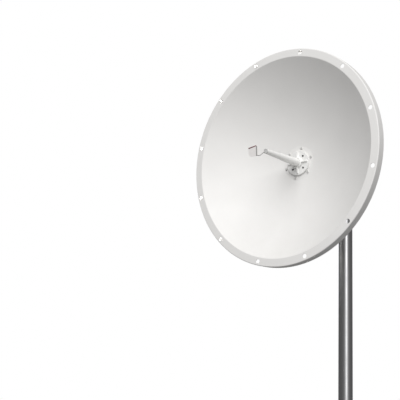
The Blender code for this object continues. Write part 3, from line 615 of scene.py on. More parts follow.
class EffectGroup:
    """The node group of a shared effect, built once."""

    made: dict[Effect, bpy.types.NodeTree] = {}
    defaults = {
        Effect.GRAIN: {"Broad": 6.0, "Fine": 500.0},
        Effect.RINGS: {"Scale": 90.0},
        Effect.SPANGLE: {"Scale": 90.0},
        Effect.DRAWN: {"Across": 900.0, "Along": 6.0},
        Effect.WEAR: {"Start": 0.53, "Full": 0.62},
        Effect.DUST: {"Scale": 14.0},
    }

    @classmethod
    def tree_for(cls, effect: Effect) -> bpy.types.NodeTree:
        """The tree of an effect, built when it is first asked for.

        Args:
            effect: Which effect.

        Returns:
            The group's tree.
        """
        if effect not in cls.made:
            cls.made[effect] = cls(effect).bench.tree
        return cls.made[effect]

    def __init__(self, effect: Effect) -> None:
        """Builds the group.

        Args:
            effect: Which effect.
        """
        tree = bpy.data.node_groups.new(effect.value, "ShaderNodeTree")
        tree.interface.new_socket("Vector", in_out="INPUT", socket_type="NodeSocketVector")
        for name, value in self.defaults[effect].items():
            socket = tree.interface.new_socket(name, in_out="INPUT", socket_type="NodeSocketFloat")
            socket.default_value = value
        self.bench = Bench(tree)
        self.given = self.bench.add("NodeGroupInput").outputs
        self.at = self.given["Vector"]
        makers = {
            Effect.GRAIN: self.grain,
            Effect.RINGS: self.rings,
            Effect.SPANGLE: self.spangle,
            Effect.DRAWN: self.drawn,
            Effect.WEAR: self.wear,
            Effect.DUST: self.dust,
        }
        results = makers[effect]()
        for name in results:
            tree.interface.new_socket(name, in_out="OUTPUT", socket_type="NodeSocketFloat")
        self.bench.add("NodeGroupOutput", results)

    def grain(self) -> dict[str, Any]:
        """Broad clouds for tone, and a fine skin for height.

        Returns:
            Sockets of the tone and the height.
        """
        clouds = self.bench.noise(self.at, self.given["Broad"], 5.0)
        fine = self.bench.noise(self.at, self.given["Fine"], 2.0)
        return {"Tone": self.bench.spread(clouds, 0.3, 0.7), "Height": fine}

    def rings(self) -> dict[str, Any]:
        """Faint rings round Z, as a spinning tool leaves them.

        Returns:
            Socket of the height.
        """
        b = self.bench
        parts = b.add("ShaderNodeSeparateXYZ", {0: self.at}).outputs
        flat = b.add("ShaderNodeCombineXYZ", {"X": parts["X"], "Y": parts["Y"]}).outputs[0]
        line = b.add("ShaderNodeCombineXYZ", {"X": b.vector("LENGTH", flat)["Value"]}).outputs[0]
        return {"Height": b.noise(line, self.given["Scale"], 4.0)}

    def spangle(self) -> dict[str, Any]:
        """Crystals of frozen zinc, each with a tone of its own.

        Returns:
            Socket of the tone.
        """
        b = self.bench
        wobble = b.noise(self.at, 60.0, 3.0, "Color")
        shift = b.vector("MULTIPLY", wobble, (0.012, 0.012, 0.012))[0]
        place = b.vector("ADD", self.at, shift)[0]
        inputs = {"Vector": place, "Scale": self.given["Scale"], "Randomness": 1.0}
        cells = b.add("ShaderNodeTexVoronoi", inputs).outputs["Color"]
        tone = b.add("ShaderNodeSeparateColor", {0: cells}).outputs["Red"]
        feather = b.noise(place, 420.0, 3.0)
        mixed = b.math("ADD", b.math("MULTIPLY", tone, 0.7), b.math("MULTIPLY", feather, 0.3))
        return {"Tone": mixed}

    def drawn(self) -> dict[str, Any]:
        """Long fine lines along Z, as drawing leaves them.

        Returns:
            Sockets of the tone and the height.
        """
        b = self.bench
        parts = b.add("ShaderNodeSeparateXYZ", {0: self.at}).outputs
        scaled = {}
        for axis, scale in (("X", "Across"), ("Y", "Across"), ("Z", "Along")):
            inputs = {0: parts[axis], 1: self.given[scale]}
            scaled[axis] = b.add("ShaderNodeMath", inputs, operation="MULTIPLY").outputs[0]
        lines = b.noise(b.add("ShaderNodeCombineXYZ", scaled).outputs[0], 1.0, 4.0)
        return {"Tone": b.spread(lines, 0.3, 0.7), "Height": lines}

    def wear(self) -> dict[str, Any]:
        """Edges that handling has rubbed, broken up by noise.

        Returns:
            Socket of the mask.
        """
        b = self.bench
        point = b.add("ShaderNodeNewGeometry").outputs["Pointiness"]
        edge = b.spread(point, self.given["Start"], self.given["Full"])
        patches = b.spread(b.noise(self.at, 55.0, 4.0), 0.42, 0.62)
        return {"Mask": b.math("MULTIPLY", edge, patches)}

    def dust(self) -> dict[str, Any]:
        """Dust that lies on faces looking up, thin in places.

        Returns:
            Socket of the mask.
        """
        b = self.bench
        normal = b.add("ShaderNodeNewGeometry").outputs["Normal"]
        upward = b.add("ShaderNodeSeparateXYZ", {0: normal}).outputs["Z"]
        thin = b.spread(b.noise(self.at, self.given["Scale"], 6.0), 0.35, 0.7, 0.15, 1.0)
        return {"Mask": b.math("MULTIPLY", b.spread(upward, 0.25, 0.95), thin)}


@dataclass
class Coat:
    """The sockets of one surface while its layers are laid."""

    bench: Bench
    place: Any
    colour: Any = None
    rough: Any = None
    height: Any = None


@dataclass(frozen=True)
class Finish:
    """A finish with broad clouds of tone, a fine skin, worn edges and a little dust.

    Colours are light values between zero and one, and heights are metres.
    """

    slot: Slot
    colour: Colour
    clouded: Colour
    roughness: float
    metallic: float = 0.0
    rough_change: float = 0.08
    broad: float = 6.0
    fine: float = 500.0
    skin: float = 0.00002
    worn: Colour = (0.5, 0.5, 0.5)
    wear: float = 0.0
    dust: float = 0.0
    dust_colour: Colour = (0.55, 0.52, 0.46)
    specular: float = 0.5

    def place_for(self, bench: Bench) -> Any:
        """Socket of the place on the surface that the layers read."""
        return bench.add("ShaderNodeTexCoord").outputs["Object"]

    def lay(self, coat: Coat) -> None:
        """Lays the clouds and the skin.

        Args:
            coat: The surface's sockets.
        """
        grain = coat.bench.effect(Effect.GRAIN, Vector=coat.place, Broad=self.broad, Fine=self.fine)
        coat.colour = coat.bench.blend(grain["Tone"], self.colour, self.clouded)
        low, high = self.roughness - self.rough_change, self.roughness + self.rough_change
        coat.rough = coat.bench.spread(grain["Tone"], 0.0, 1.0, low, high)
        coat.height = grain["Height"]

    def lay_age(self, coat: Coat) -> None:
        """Lays the wear and the dust, where the finish has them.

        Args:
            coat: The surface's sockets.
        """
        bench = coat.bench
        if self.wear:
            mask = bench.effect(Effect.WEAR, Vector=coat.place)["Mask"]
            coat.colour = bench.blend(bench.math("MULTIPLY", mask, self.wear), coat.colour, self.worn)
        if self.dust:
            mask = bench.effect(Effect.DUST, Vector=coat.place)["Mask"]
            lying = bench.math("MULTIPLY", mask, self.dust)
            coat.colour = bench.blend(lying, coat.colour, self.dust_colour)
            coat.rough = bench.math("MAXIMUM", coat.rough, lying)

    def material(self) -> bpy.types.Material:
        """Builds the finish.

        Returns:
            The material, named for its slot.
        """
        material = bpy.data.materials.new(self.slot.value)
        material.use_nodes = True
        bench = Bench(material.node_tree)
        coat = Coat(bench, self.place_for(bench))
        self.lay(coat)
        self.lay_age(coat)
        bump = bench.add("ShaderNodeBump", {"Height": coat.height, "Distance": self.skin, "Strength": 1.0})
        shader = bench.tree.nodes["Principled BSDF"].inputs
        bench.tree.links.new(coat.colour, shader["Base Color"])
        bench.tree.links.new(coat.rough, shader["Roughness"])
        bench.tree.links.new(bump.outputs["Normal"], shader["Normal"])
        shader["Metallic"].default_value = self.metallic
        shader["Specular IOR Level"].default_value = self.specular
        material.diffuse_color = (*self.colour, 1.0)
        return material


@dataclass(frozen=True)
class SpunPaint(Finish):
    """Powder coat over spun sheet, whose faint rings show through."""

    ring_scale: float = 110.0
    ring_share: float = 0.6
    place: Matrix = field(default_factory=Matrix)

    def place_for(self, bench: Bench) -> Any:
        """Socket of the place in the dish's own frame.

        Args:
            bench: Where the nodes stand.

        Returns:
            The turned place.
        """
        inputs = {"Location": self.place.to_translation(), "Rotation": self.place.to_euler()}
        inputs["Vector"] = super().place_for(bench)
        return bench.add("ShaderNodeMapping", inputs, vector_type="TEXTURE").outputs[0]

    def lay(self, coat: Coat) -> None:
        """Adds the rings to the height of the coat.

        Args:
            coat: The surface's sockets.
        """
        super().lay(coat)
        rings = coat.bench.effect(Effect.RINGS, Vector=coat.place, Scale=self.ring_scale)
        ringed = coat.bench.math("MULTIPLY", rings["Height"], self.ring_share)
        skin = coat.bench.math("MULTIPLY", coat.height, 1.0 - self.ring_share)
        coat.height = coat.bench.math("ADD", ringed, skin)


@dataclass(frozen=True)
class DippedZinc(Finish):
    """Zinc from a hot bath, with its spangle."""

    spangle_scale: float = 90.0
    spangle_share: float = 0.55
    glint: float = 1.35

    def lay(self, coat: Coat) -> None:
        """Lays the crystals over the clouds.

        Args:
            coat: The surface's sockets.
        """
        super().lay(coat)
        b = coat.bench
        tone = b.effect(Effect.SPANGLE, Vector=coat.place, Scale=self.spangle_scale)["Tone"]
        bright = tuple(min(1.0, c * self.glint) for c in self.colour)
        coat.colour = b.blend(b.spread(tone, 0.0, 1.0, 0.0, self.spangle_share), coat.colour, bright)
        coat.rough = b.math("MULTIPLY", coat.rough, b.spread(tone, 0.0, 1.0, 0.9, 1.15))
        coat.height = b.math("ADD", b.math("MULTIPLY", tone, 0.5), b.math("MULTIPLY", coat.height, 0.5))


@dataclass(frozen=True)
class DrawnSteel(Finish):
    """Steel with fine lines along Z and darker patches."""

    across: float = 900.0
    along: float = 6.0
    line_share: float = 0.5
    shade: float = 0.72

    def lay(self, coat: Coat) -> None:
        """Lays the drawn lines over the clouds.

        Args:
            coat: The surface's sockets.
        """
        super().lay(coat)
        b = coat.bench
        lines = b.effect(Effect.DRAWN, Vector=coat.place, Across=self.across, Along=self.along)
        share = b.math("MULTIPLY", lines["Tone"], self.line_share)
        coat.colour = b.blend(share, coat.colour, tuple(c * self.shade for c in self.colour))
        line_height = b.math("MULTIPLY", lines["Height"], 0.6)
        coat.height = b.math("ADD", line_height, b.math("MULTIPLY", coat.height, 0.4))


class Paintshop:
    """Keeps one material for each slot."""

    def __init__(self, dish: DishFrame) -> None:
        """Lists the finishes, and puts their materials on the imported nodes.

        Args:
            dish: The dish's frame, round which the spun rings run.
        """
        finishes = [
            SpunPaint(
                Slot.REFLECTOR_WHITE, (0.80, 0.79, 0.775), (0.775, 0.765, 0.75), 0.55,
                fine=650.0, skin=0.00006, dust=0.25, specular=0.3, place=dish.place,
            ),
            Finish(
                Slot.FEED_WHITE, (0.82, 0.815, 0.80), (0.78, 0.775, 0.76), 0.45,
                broad=40.0, fine=900.0, skin=0.00005, wear=0.3, worn=(0.62, 0.61, 0.59), dust=0.2,
            ),
            Finish(
                Slot.END_GREY, (0.56, 0.56, 0.55), (0.52, 0.52, 0.51), 0.5,
                broad=60.0, fine=1400.0, skin=0.00002,
            ),
            Finish(
                Slot.SPLASH_GREY, (0.80, 0.775, 0.76), (0.76, 0.735, 0.72), 0.42,
                broad=50.0, fine=1200.0, wear=0.4, worn=(0.75, 0.75, 0.74),
            ),
            Finish(
                Slot.STRIP_RED, (0.19, 0.055, 0.065), (0.16, 0.045, 0.055), 0.45,
                broad=90.0, fine=1500.0, wear=0.3, worn=(0.30, 0.12, 0.12),
            ),
            # Dark grey, partly painted shade: it stands in for the shaded edge lines of the feed head.
            Finish(
                Slot.STRIP_DARK_PAINTED_SHADE, (0.36, 0.35, 0.34), (0.28, 0.27, 0.265), 0.45,
                broad=90.0, fine=1500.0, wear=0.3, worn=(0.48, 0.47, 0.46),
            ),
            Finish(
                Slot.DARK_SCREW, (0.055, 0.055, 0.06), (0.03, 0.03, 0.035), 0.36, metallic=0.8,
                broad=120.0, fine=1800.0, wear=0.6, worn=(0.35, 0.34, 0.33),
            ),
            DrawnSteel(
                Slot.STAINLESS, (0.80, 0.80, 0.78), (0.72, 0.72, 0.70), 0.42, metallic=0.5,
                broad=80.0, fine=1600.0, skin=0.00001, across=1600.0, along=900.0, line_share=0.3,
            ),
            DippedZinc(
                Slot.GALVANISED, (0.48, 0.49, 0.50), (0.38, 0.39, 0.40), 0.46, metallic=0.85,
                broad=16.0, fine=700.0, skin=0.00008, wear=0.35, worn=(0.68, 0.69, 0.70), dust=0.35,
            ),
            DrawnSteel(
                Slot.PLATED_BRASS, (0.68, 0.60, 0.42), (0.55, 0.47, 0.31), 0.26, metallic=1.0,
                broad=110.0, fine=1600.0, skin=0.00001, across=1500.0, along=900.0, line_share=0.3,
            ),
            DrawnSteel(
                Slot.POLE_STEEL, (0.38, 0.38, 0.385), (0.33, 0.33, 0.335), 0.42, metallic=1.0,
                rough_change=0.05, broad=7.0, fine=600.0, skin=0.00003, across=500.0, along=3.0,
                line_share=0.3, wear=0.4, worn=(0.38, 0.37, 0.36), dust=0.15,
            ),
            Finish(
                Slot.CAP_BLACK, (0.028, 0.028, 0.03), (0.02, 0.02, 0.022), 0.5,
                broad=70.0, fine=1100.0, skin=0.00006, wear=0.3, worn=(0.12, 0.12, 0.12), dust=0.5,
            ),
        ]
        self.materials = {finish.slot: finish.material() for finish in finishes}
        for row in frame["record"]["subparts"]:
            node = frame["nodes"][row["node"]]
            node.data.materials.clear()
            node.data.materials.append(self.materials[Slot(row["material_slot"])])


@dataclass
class SubAssembly:
    """Pieces of the antenna that are shaped in one frame, which a matrix places."""

    shop: Paintshop
    place: Matrix
    pieces: list[bpy.types.Object] = field(default_factory=list, init=False)

    def fit(self, name: str, solid: Solid, slot: Slot, *nodes: str) -> None:
        """Finishes a solid and hands it to the frame in place of its nodes.

        Args:
            name: Name of the piece.
            solid: Its shape. It is used up.
            slot: Its finish.
            nodes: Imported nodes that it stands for.
        """
        solid.moved(self.place)
        data = bpy.data.meshes.new(name)
        solid.mesh.to_mesh(data)
        solid.mesh.free()
        data.materials.append(self.shop.materials[slot])
        data.shade_smooth()
        data.set_sharp_from_angle(angle=SHARP_ANGLE)
        piece = bpy.data.objects.new(name, data)
        bpy.context.scene.collection.objects.link(piece)
        evened = piece.modifiers.new("even_normals", "WEIGHTED_NORMAL")
        evened.keep_sharp = True
        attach(piece, "root")
        if nodes:
            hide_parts(*nodes)
        self.pieces.append(piece)
        log.info("%s: %d faces", name, len(data.polygons))

    def fit_row(self, name: str, solids: Iterable[Solid], slot: Slot, node: str = "") -> None:
        """Fits numbered pieces, each in place of the node with its number where nodes are named."""
        for i, solid in enumerate(solids, 1):
            self.fit(f"{name}_{i}", solid, slot, *([f"{node}_{i}"] if node else []))


@dataclass(frozen=True)
class Fastener:
    """Sizes of a metric hexagon bolt and nut."""

    radius: float
    pitch: float
    flats: float = 0.0
    head: float = 0.0
    nut: float = 0.0
    crown: float = math.radians(30)
    chamfer_share: float = 0.96
    turns_per_step: float = 1 / 6
    depth_share: float = 0.61
    crest_share: float = 0.12
    flank_share: float = 0.7
    bore_clearance: float = 0.0001

    @property
    def depth(self) -> float:
        """Depth of the thread."""
        return self.depth_share * self.pitch

    def hexagon(self, low: float, high: float, crown_low: bool = True) -> Solid:
        """A hexagon with its corners turned away at the top.

        Args:
            low: Height of its underside.
            high: Height of its top.
            crown_low: True to turn them away at the underside too.

        Returns:
            The hexagon.
        """
        corner = self.flats / math.sqrt(3)
        face = self.flats / 2 * self.chamfer_share
        drop = (corner - face) * math.tan(self.crown)
        profile = [(0, high), (face, high), (corner, high - drop)]
        profile += [(corner, low + drop), (face, low)] if crown_low else [(corner * 1.1, low)]
        prism = Solid.plate(ring_places(6, corner), low - CUT_PAST, high + CUT_PAST)
        return prism.combined(Solid.turned([*profile, (0, low)], 48), Joining.KEEP)

    def thread(self, start: Vector, end: Vector, plain_until: float = 0.0) -> Solid:
        """A threaded bar with a pointed edge at its far end.

        Args:
            start: Near end of the bar.
            end: Far end of the bar.
            plain_until: Length that stays plain at the near end.

        Returns:
            The bar.
        """
        length = (end - start).length
        turn_point = start.lerp(end, min(1.0, plain_until / length))
        path = straight(turn_point, end, self.pitch * self.turns_per_step)
        if plain_until:
            path.insert(0, start)
        return Solid.bar(path, self.radius_along(length, plain_until))

    def radius_along(self, length: float, plain_until: float = 0.0) -> RadiusAt:
        """Radius of a threaded bar along its length and round it.

        Args:
            length: Length of the bar.
            plain_until: Length that stays plain at the near end.

        Returns:
            A function of the distance and the angle.
        """

        def radius(run: float, angle: float) -> float:
            """Radius at one place.

            Args:
                run: Distance along the bar.
                angle: Angle round it.

            Returns:
                The radius.
            """
            tip = min(run if plain_until == 0.0 else math.inf, length - run)
            bevelled = self.radius - self.depth + max(tip, 0.0)
            if run <= plain_until:
                return min(self.radius, bevelled) if tip < self.depth else self.radius
            phase = (run / self.pitch - angle / math.tau) % 1.0
            across = (1.0 - abs(2 * phase - 1) - self.crest_share) / self.flank_share
            return min(self.radius - self.depth * min(1.0, max(0.0, across)), bevelled)

        return radius

    def nut_ring(self, low: float, high: float) -> Solid:
        """A nut between two heights with a bore that clears the thread."""
        bore = Solid.bore(self.radius + self.bore_clearance, low, high, 0.0006, 24)
        return self.hexagon(low, high).cut(bore)

    def washer(self, low: float, radius: float, thickness: float) -> Solid:
        """A washer on a height with a bore that clears the shank."""
        return Solid.turned(section(self.radius + GAP, radius, low, low + thickness), 40).softened(0.0002, 1)


TEN = Fastener(radius=0.005, pitch=0.0015, flats=0.017, head=0.0064, nut=0.008)
SIX = Fastener(radius=0.003, pitch=0.001, flats=0.010, head=0.004, nut=0.005)


@dataclass(frozen=True)
class BoltSet:
    """A bolt with its nut and, where it has them, its washers. The bolt runs down Z."""

    kind: Fastener
    grip: float
    stickout: float = 0.004
    washer: float = 0.0
    washer_radius: float = 0.010
    face: float = 0.0006

    def solid(self) -> Solid:
        """The set, its head's side of the grip at zero.

        Returns:
            A solid of separate shells for the bolt, the nut and the washers.
        """
        kind = self.kind
        head_seat = GAP + self.washer
        nut_top = -self.grip - GAP - self.washer
        head = kind.hexagon(head_seat + self.face, head_seat + kind.head, False)
        collar = section(0, kind.flats / 2 * kind.chamfer_share, head_seat + 2 * self.face, head_seat)
        start = Vector((0, 0, head_seat + kind.head / 2))
        tip = Vector((0, 0, nut_top - kind.nut - self.stickout))
        shank = kind.thread(start, tip, start.z - nut_top + kind.nut / 2)
        shells = [head.joined(Solid.turned(collar, 48), shank)]
        shells.append(kind.nut_ring(nut_top - kind.nut, nut_top))
        if self.washer:
            shells += [kind.washer(low, self.washer_radius, self.washer) for low in (GAP, nut_top)]
        return Solid.group(shells)


@dataclass
class WeldBead:
    """A rippled bead of weld along a corner."""

    path: list[Vector]
    radius: float = 0.0038
    ripple: float = 0.0024
    depth: float = 0.14
    slant: float = 0.35
    blunt: float = 0.25
    sides: int = 12

    @classmethod
    def between(cls, start: Vector, end: Vector, *radius: float) -> Solid:
        """A bead on the line between two points, of the usual radius unless another is given."""
        return cls(straight(start, end, WELD_STEP), *radius).solid()

    def solid(self) -> Solid:
        """The bead, thin at both ends.

        Returns:
            The bead as a closed bar.
        """
        length = path_length(self.path)
        closed = (self.path[0] - self.path[-1]).length < self.radius

        def radius(run: float, angle: float) -> float:
            """Radius at one place, with a scale every ripple.

            Args:
                run: Distance along the bar.
                angle: Angle round it.

            Returns:
                The radius.
            """
            scale = (run / self.ripple + self.slant * math.sin(angle)) % 1.0
            end = 1.0 if closed else min(1.0, min(run, length - run) / self.radius + self.blunt)
            return self.radius * math.sqrt(end) * (1.0 - self.depth * scale * scale)

        return Solid.bar(self.path, radius, self.sides)


@dataclass
class BowlSizes:
    """Sizes of the spun reflector."""

    mouth_radius: float = 0.450
    focal_length: float = 0.325
    sheet: float = 0.002
    lip_depth: float = 0.040
    lip_corner: float = 0.004
    bead: float = 0.004
    curl: float = math.radians(262)
    flat_radius: float = 0.078
    knee: float = 0.030
    mouth_corner: float = 0.006
    centre_hole: float = 0.0198
    rim_holes: int = 12
    rim_hole_radius: float = 0.0095
    hub_holes: int = 6
    hub_circle: float = 0.068
    hub_hole_radius: float = 0.0033
    screw_holes: int = 4
    screw_circle: float = 0.0384
    screw_hole_radius: float = 0.0028
    rings: int = 44
    steps: int = 192

    def height(self, radius: float) -> float:
        """Height of the bowl's front face at a radius, below the rim."""
        return (radius**2 - self.mouth_radius**2) / (4 * self.focal_length)

    @property
    def seat(self) -> float:
        """Height of the flat middle."""
        return self.height(self.flat_radius)

    @property
    def hub_places(self) -> Outline:
        """Middles of the hub bolts."""
        return ring_places(self.hub_holes, self.hub_circle, math.pi / (2 * self.hub_holes))

    @property
    def screw_places(self) -> Outline:
        """Middles of the feed screws."""
        return ring_places(self.screw_holes, self.screw_circle, math.pi / self.screw_holes)

    def hub_bores(self, low: float, high: float) -> list[Solid]:
        """Wastes of the hub bolts' holes through a plate between two heights."""
        return Solid.bores(self.hub_places, self.hub_hole_radius, low, high, sides=24)

    def bores(self, low: float, high: float) -> list[Solid]:
        """Wastes of the holes of the hub bolts and of the feed screws."""
        screws = Solid.bores(self.screw_places, self.screw_hole_radius, low, high, sides=24)
        return self.hub_bores(low, high) + screws


@dataclass
class Reflector(SubAssembly):
    """The spun bowl with its drilled rim, its lip and its curled edge."""

    sizes: BowlSizes
    outer: float
    rim_circle: float

    def front_line(self) -> Outline:
        """The front face from the centre hole out over the rim and down into the curl.

        Returns:
            Points of radius and height.
        """
        s = self.sizes
        step = (s.mouth_radius - s.flat_radius) / s.rings
        bowl = [s.flat_radius + step * i for i in range(s.rings + 1)]
        bead_height = -s.lip_depth + s.bead
        corners = [(s.centre_hole, s.seat), *((radius, s.height(radius)) for radius in bowl)]
        corners += [(self.outer, 0.0), (self.outer, bead_height)]
        radii = [0.0] * len(corners)
        radii[1], radii[-3], radii[-2] = s.knee, s.mouth_corner, s.lip_corner
        line = rounded(corners, radii, 6, closed=False)
        return line + arc((self.outer - s.bead, bead_height), s.bead, 0.0, -s.curl, 20)[1:]

    def build(self) -> None:
        """Turns the sheet, drills it and fits it."""
        s = self.sizes
        sheet = Solid.turned(sheet_outline(self.front_line(), s.sheet), s.steps)
        rim = ring_places(s.rim_holes, self.rim_circle, math.pi / s.rim_holes)
        holes = Solid.bores(rim, s.rim_hole_radius, -s.sheet, 0.0) + s.bores(s.seat - s.sheet, s.seat)
        self.fit("dish_reflector", sheet.cut(*holes), Slot.REFLECTOR_WHITE, "reflector")


@dataclass
class Feed(SubAssembly):
    """The cast base with its webs, the tapered tube and the four sunk screws."""

    bowl: BowlSizes
    hub_rear: float
    flange_radius: float = 0.057
    flange: float = 0.008
    boss_wall: float = 0.003
    boss_height: float = 0.012
    spigot_radius: float = 0.0195
    web: float = 0.007
    web_height: float = 0.009
    web_toe: float = 0.006
    tube_radius: float = 0.019
    tube_end_radius: float = 0.0103
    tube_reach: float = 0.095
    tube_edge: float = 0.0006
    cap: float = 0.004
    cap_wall: float = 0.0015
    screw_radius: float = 0.0025
    screw_head_radius: float = 0.0045
    screw_head: float = 0.003
    screw_socket: float = 0.004
    screw_sink: float = 0.002
    screw_edge: float = 0.0004
    socket_depth: float = 0.0018
    voxel: float = 0.0009

    def __post_init__(self) -> None:
        """Finds the heights of the flange's two faces."""
        self.seat = self.bowl.seat + GAP
        self.face = self.seat + self.flange

    def build(self) -> None:
        """Builds every piece of the feed but its head."""
        self.build_base()
        self.build_tube()
        self.build_screws()

    def build_base(self) -> None:
        """Casts the flange, the boss and the webs as one, then machines the bores."""
        boss = self.tube_radius + GAP + self.boss_wall
        top = self.face + self.boss_height
        wide = self.flange_radius
        body = [(0, top), (boss, top), (boss + self.boss_wall, self.face), (wide, self.face)]
        body += [(wide, self.seat), (0, self.seat)]
        toe = wide - self.web_toe
        sole, crest = self.seat + self.web_toe, self.face + self.web_height
        web = [(0, sole), (toe, sole), (toe, self.face + self.web_toe), (boss, crest), (0, crest)]
        shells = [Solid.turned(body, 96)]
        for i in range(4):
            plate = Solid.plate(web, -self.web / 2, self.web / 2).moved(TO_SIDE)
            shells.append(plate.moved(Matrix.Rotation(QUARTER * i, 4, "Z")))
        casting = Solid.group(shells).cast(self.voxel, 7)
        casting.joined(Solid.turned(section(0, self.spigot_radius, sole, self.hub_rear), 64))
        recess_low = self.face - self.screw_sink - self.screw_head
        head = self.screw_head_radius + 2 * GAP
        shank = self.screw_radius + GAP
        low, past = self.seat - CUT_PAST, self.face + CUT_PAST
        stepped = [(0, past), (head + CUT_PAST, past), (head, self.face - GAP), (head, recess_low)]
        stepped += [(shank, recess_low), (shank, low), (0, low)]
        tools = [Solid.turned(section(0, self.tube_radius + GAP, top + CUT_PAST, self.seat), 96)]
        tools += [Solid.turned(stepped, 32).shifted(x, y) for x, y in self.bowl.screw_places]
        self.fit("feed_casting", casting.cut(*tools), Slot.FEED_WHITE, "feed_base")

    def build_tube(self) -> None:
        """Turns the tapered tube and its end plug."""
        reach, end, edge = self.tube_reach, self.tube_end_radius, self.tube_edge
        taper = (self.tube_radius - end) / (reach - self.face)
        root = self.seat + GAP
        tube = [(0, reach), (end - edge, reach), (end, reach - edge)]
        tube += [(self.tube_radius - taper * self.boss_height, self.face + self.boss_height)]
        tube += [(self.tube_radius, self.face), (self.tube_radius, root), (0, root)]
        self.fit("tapered_tube", Solid.turned(tube, 96), Slot.FEED_WHITE, "feed_tube")
        low = reach + GAP
        high = low + self.cap
        wall, dish = end - self.cap_wall, high - 2 * edge
        plug = [(0, dish), (wall - edge, dish), (wall, high), (end - edge, high)]
        plug += [(end, high - edge), (end, low), (0, low)]
        self.fit("tube_end_plug", Solid.turned(plug, 64), Slot.END_GREY, "feed_end_cap")

    def build_screws(self) -> None:
        """Makes one socket screw and copies it to its four places."""
        top = self.face - self.screw_sink
        low = top - self.screw_head + GAP
        head, shank, edge, tip = self.screw_head_radius, self.screw_radius, self.screw_edge, self.hub_rear
        screw = [(0, top), (head - edge, top), (head, top - edge), (head, low), (shank, low)]
        screw += [(shank, tip + edge), (shank - edge, tip), (0, tip)]
        key = ring_places(6, self.screw_socket / math.sqrt(3))
        socket = Solid.plate(key, top - self.socket_depth, top + CUT_PAST)
        master = Solid.turned(screw, 32).cut(socket)
        screws = [master.copy().shifted(x, y) for x, y in self.bowl.screw_places]
        self.fit_row("flange_screw", screws, Slot.DARK_SCREW, "feed_screw")


@dataclass
class FeedHead(SubAssembly):
    """The small plate ahead of the tube, its two edge strips and its bent stay. The dark grey of the side
    strip and the stay is partly painted shade.
    """

    distance: float = 0.190
    width: float = 0.040
    height: float = 0.041
    drop: float = 0.003
    slant: float = 0.005
    corner: float = 0.018
    strip_corner: float = 0.001
    stay_corner: float = 0.002
    thickness: float = 0.0015
    strip: float = 0.004
    stay_radius: float = 0.0016
    stay_inset: float = 0.0055
    stay_past: float = 0.017
    standoff: float = 0.006
    pad_radius: float = 0.0028
    pad_edge: float = 0.0003
    bend: float = 0.004

    def build(self, tube_end: float) -> None:
        """Builds the plate, the strips and the stay.

        Args:
            tube_end: Height of the end plug's front face.
        """
        right, top = self.width / 2, -self.drop
        bottom = top - self.height
        half, side = self.thickness / 2, self.strip / 2
        corners = [(right, top), (-right, top - self.slant), (-right, bottom), (right, bottom)]
        radii = [0, self.strip_corner, self.corner, self.stay_corner]
        plate = Solid.plate(rounded(corners, radii, 12), -half, half)
        plate.softened(0.0004).shifted(z=self.distance)
        self.fit("splash_panel", plate, Slot.SPLASH_GREY, "splash_plate")
        lean = Matrix.Rotation(math.atan2(self.slant, self.width), 4, "Z")
        corner_place = Matrix.Translation((right, top, self.distance))
        length = math.hypot(self.slant, self.width)
        top_strip = Solid.block((-length, GAP, -side), (0, self.strip, side)).softened(0.0007, 3)
        self.fit("top_edge_strip", top_strip.moved(corner_place @ lean), Slot.STRIP_RED, "plate_top_strip")
        # The side strip's dark grey is partly painted shade: a dark line where the plate's side edge lies in
        # shade.
        side_strip = Solid.block((GAP, bottom - top, -side), (self.strip, 0, side)).softened(0.0007, 3)
        self.fit("side_strip_painted_shade", side_strip.moved(corner_place), Slot.STRIP_DARK_PAINTED_SHADE, "plate_side_strip")
        self.build_stay(right, bottom, tube_end)

    def build_stay(self, right: float, bottom: float, tube_end: float) -> None:
        """Bends the stay from the tube's end to the plate's lower right corner.

        Args:
            right: The plate's right edge.
            bottom: The plate's lower edge.
            tube_end: Height of the end plug's front face.
        """
        foot = self.pad_radius + GAP
        rear = self.distance - self.thickness / 2 - GAP
        level = self.distance - self.strip / 2 - GAP - self.stay_radius
        start = Vector((-self.stay_inset, -self.stay_inset, tube_end + GAP))
        corner = Vector((right + self.stay_past, bottom - self.stay_radius, level))
        end = Vector((right - foot, bottom + foot, level))
        path = bent([start, start + Vector((0, 0, self.standoff)), corner, end], self.bend)
        wire = Solid.bar(path, lambda run, angle: self.stay_radius, 16)
        low, wide, edge = level - self.stay_radius, self.pad_radius, self.pad_edge
        pad = [(0, rear), (wide - edge, rear), (wide, rear - edge), (wide, low), (0, low)]
        wire.joined(Solid.turned(pad, 32).shifted(end.x, end.y))
        # The stay's dark grey is partly painted shade: a dark line along the shaded underside ahead of the
        # tube.
        self.fit("bent_stay", wire, Slot.STRIP_DARK_PAINTED_SHADE, "plate_stay")


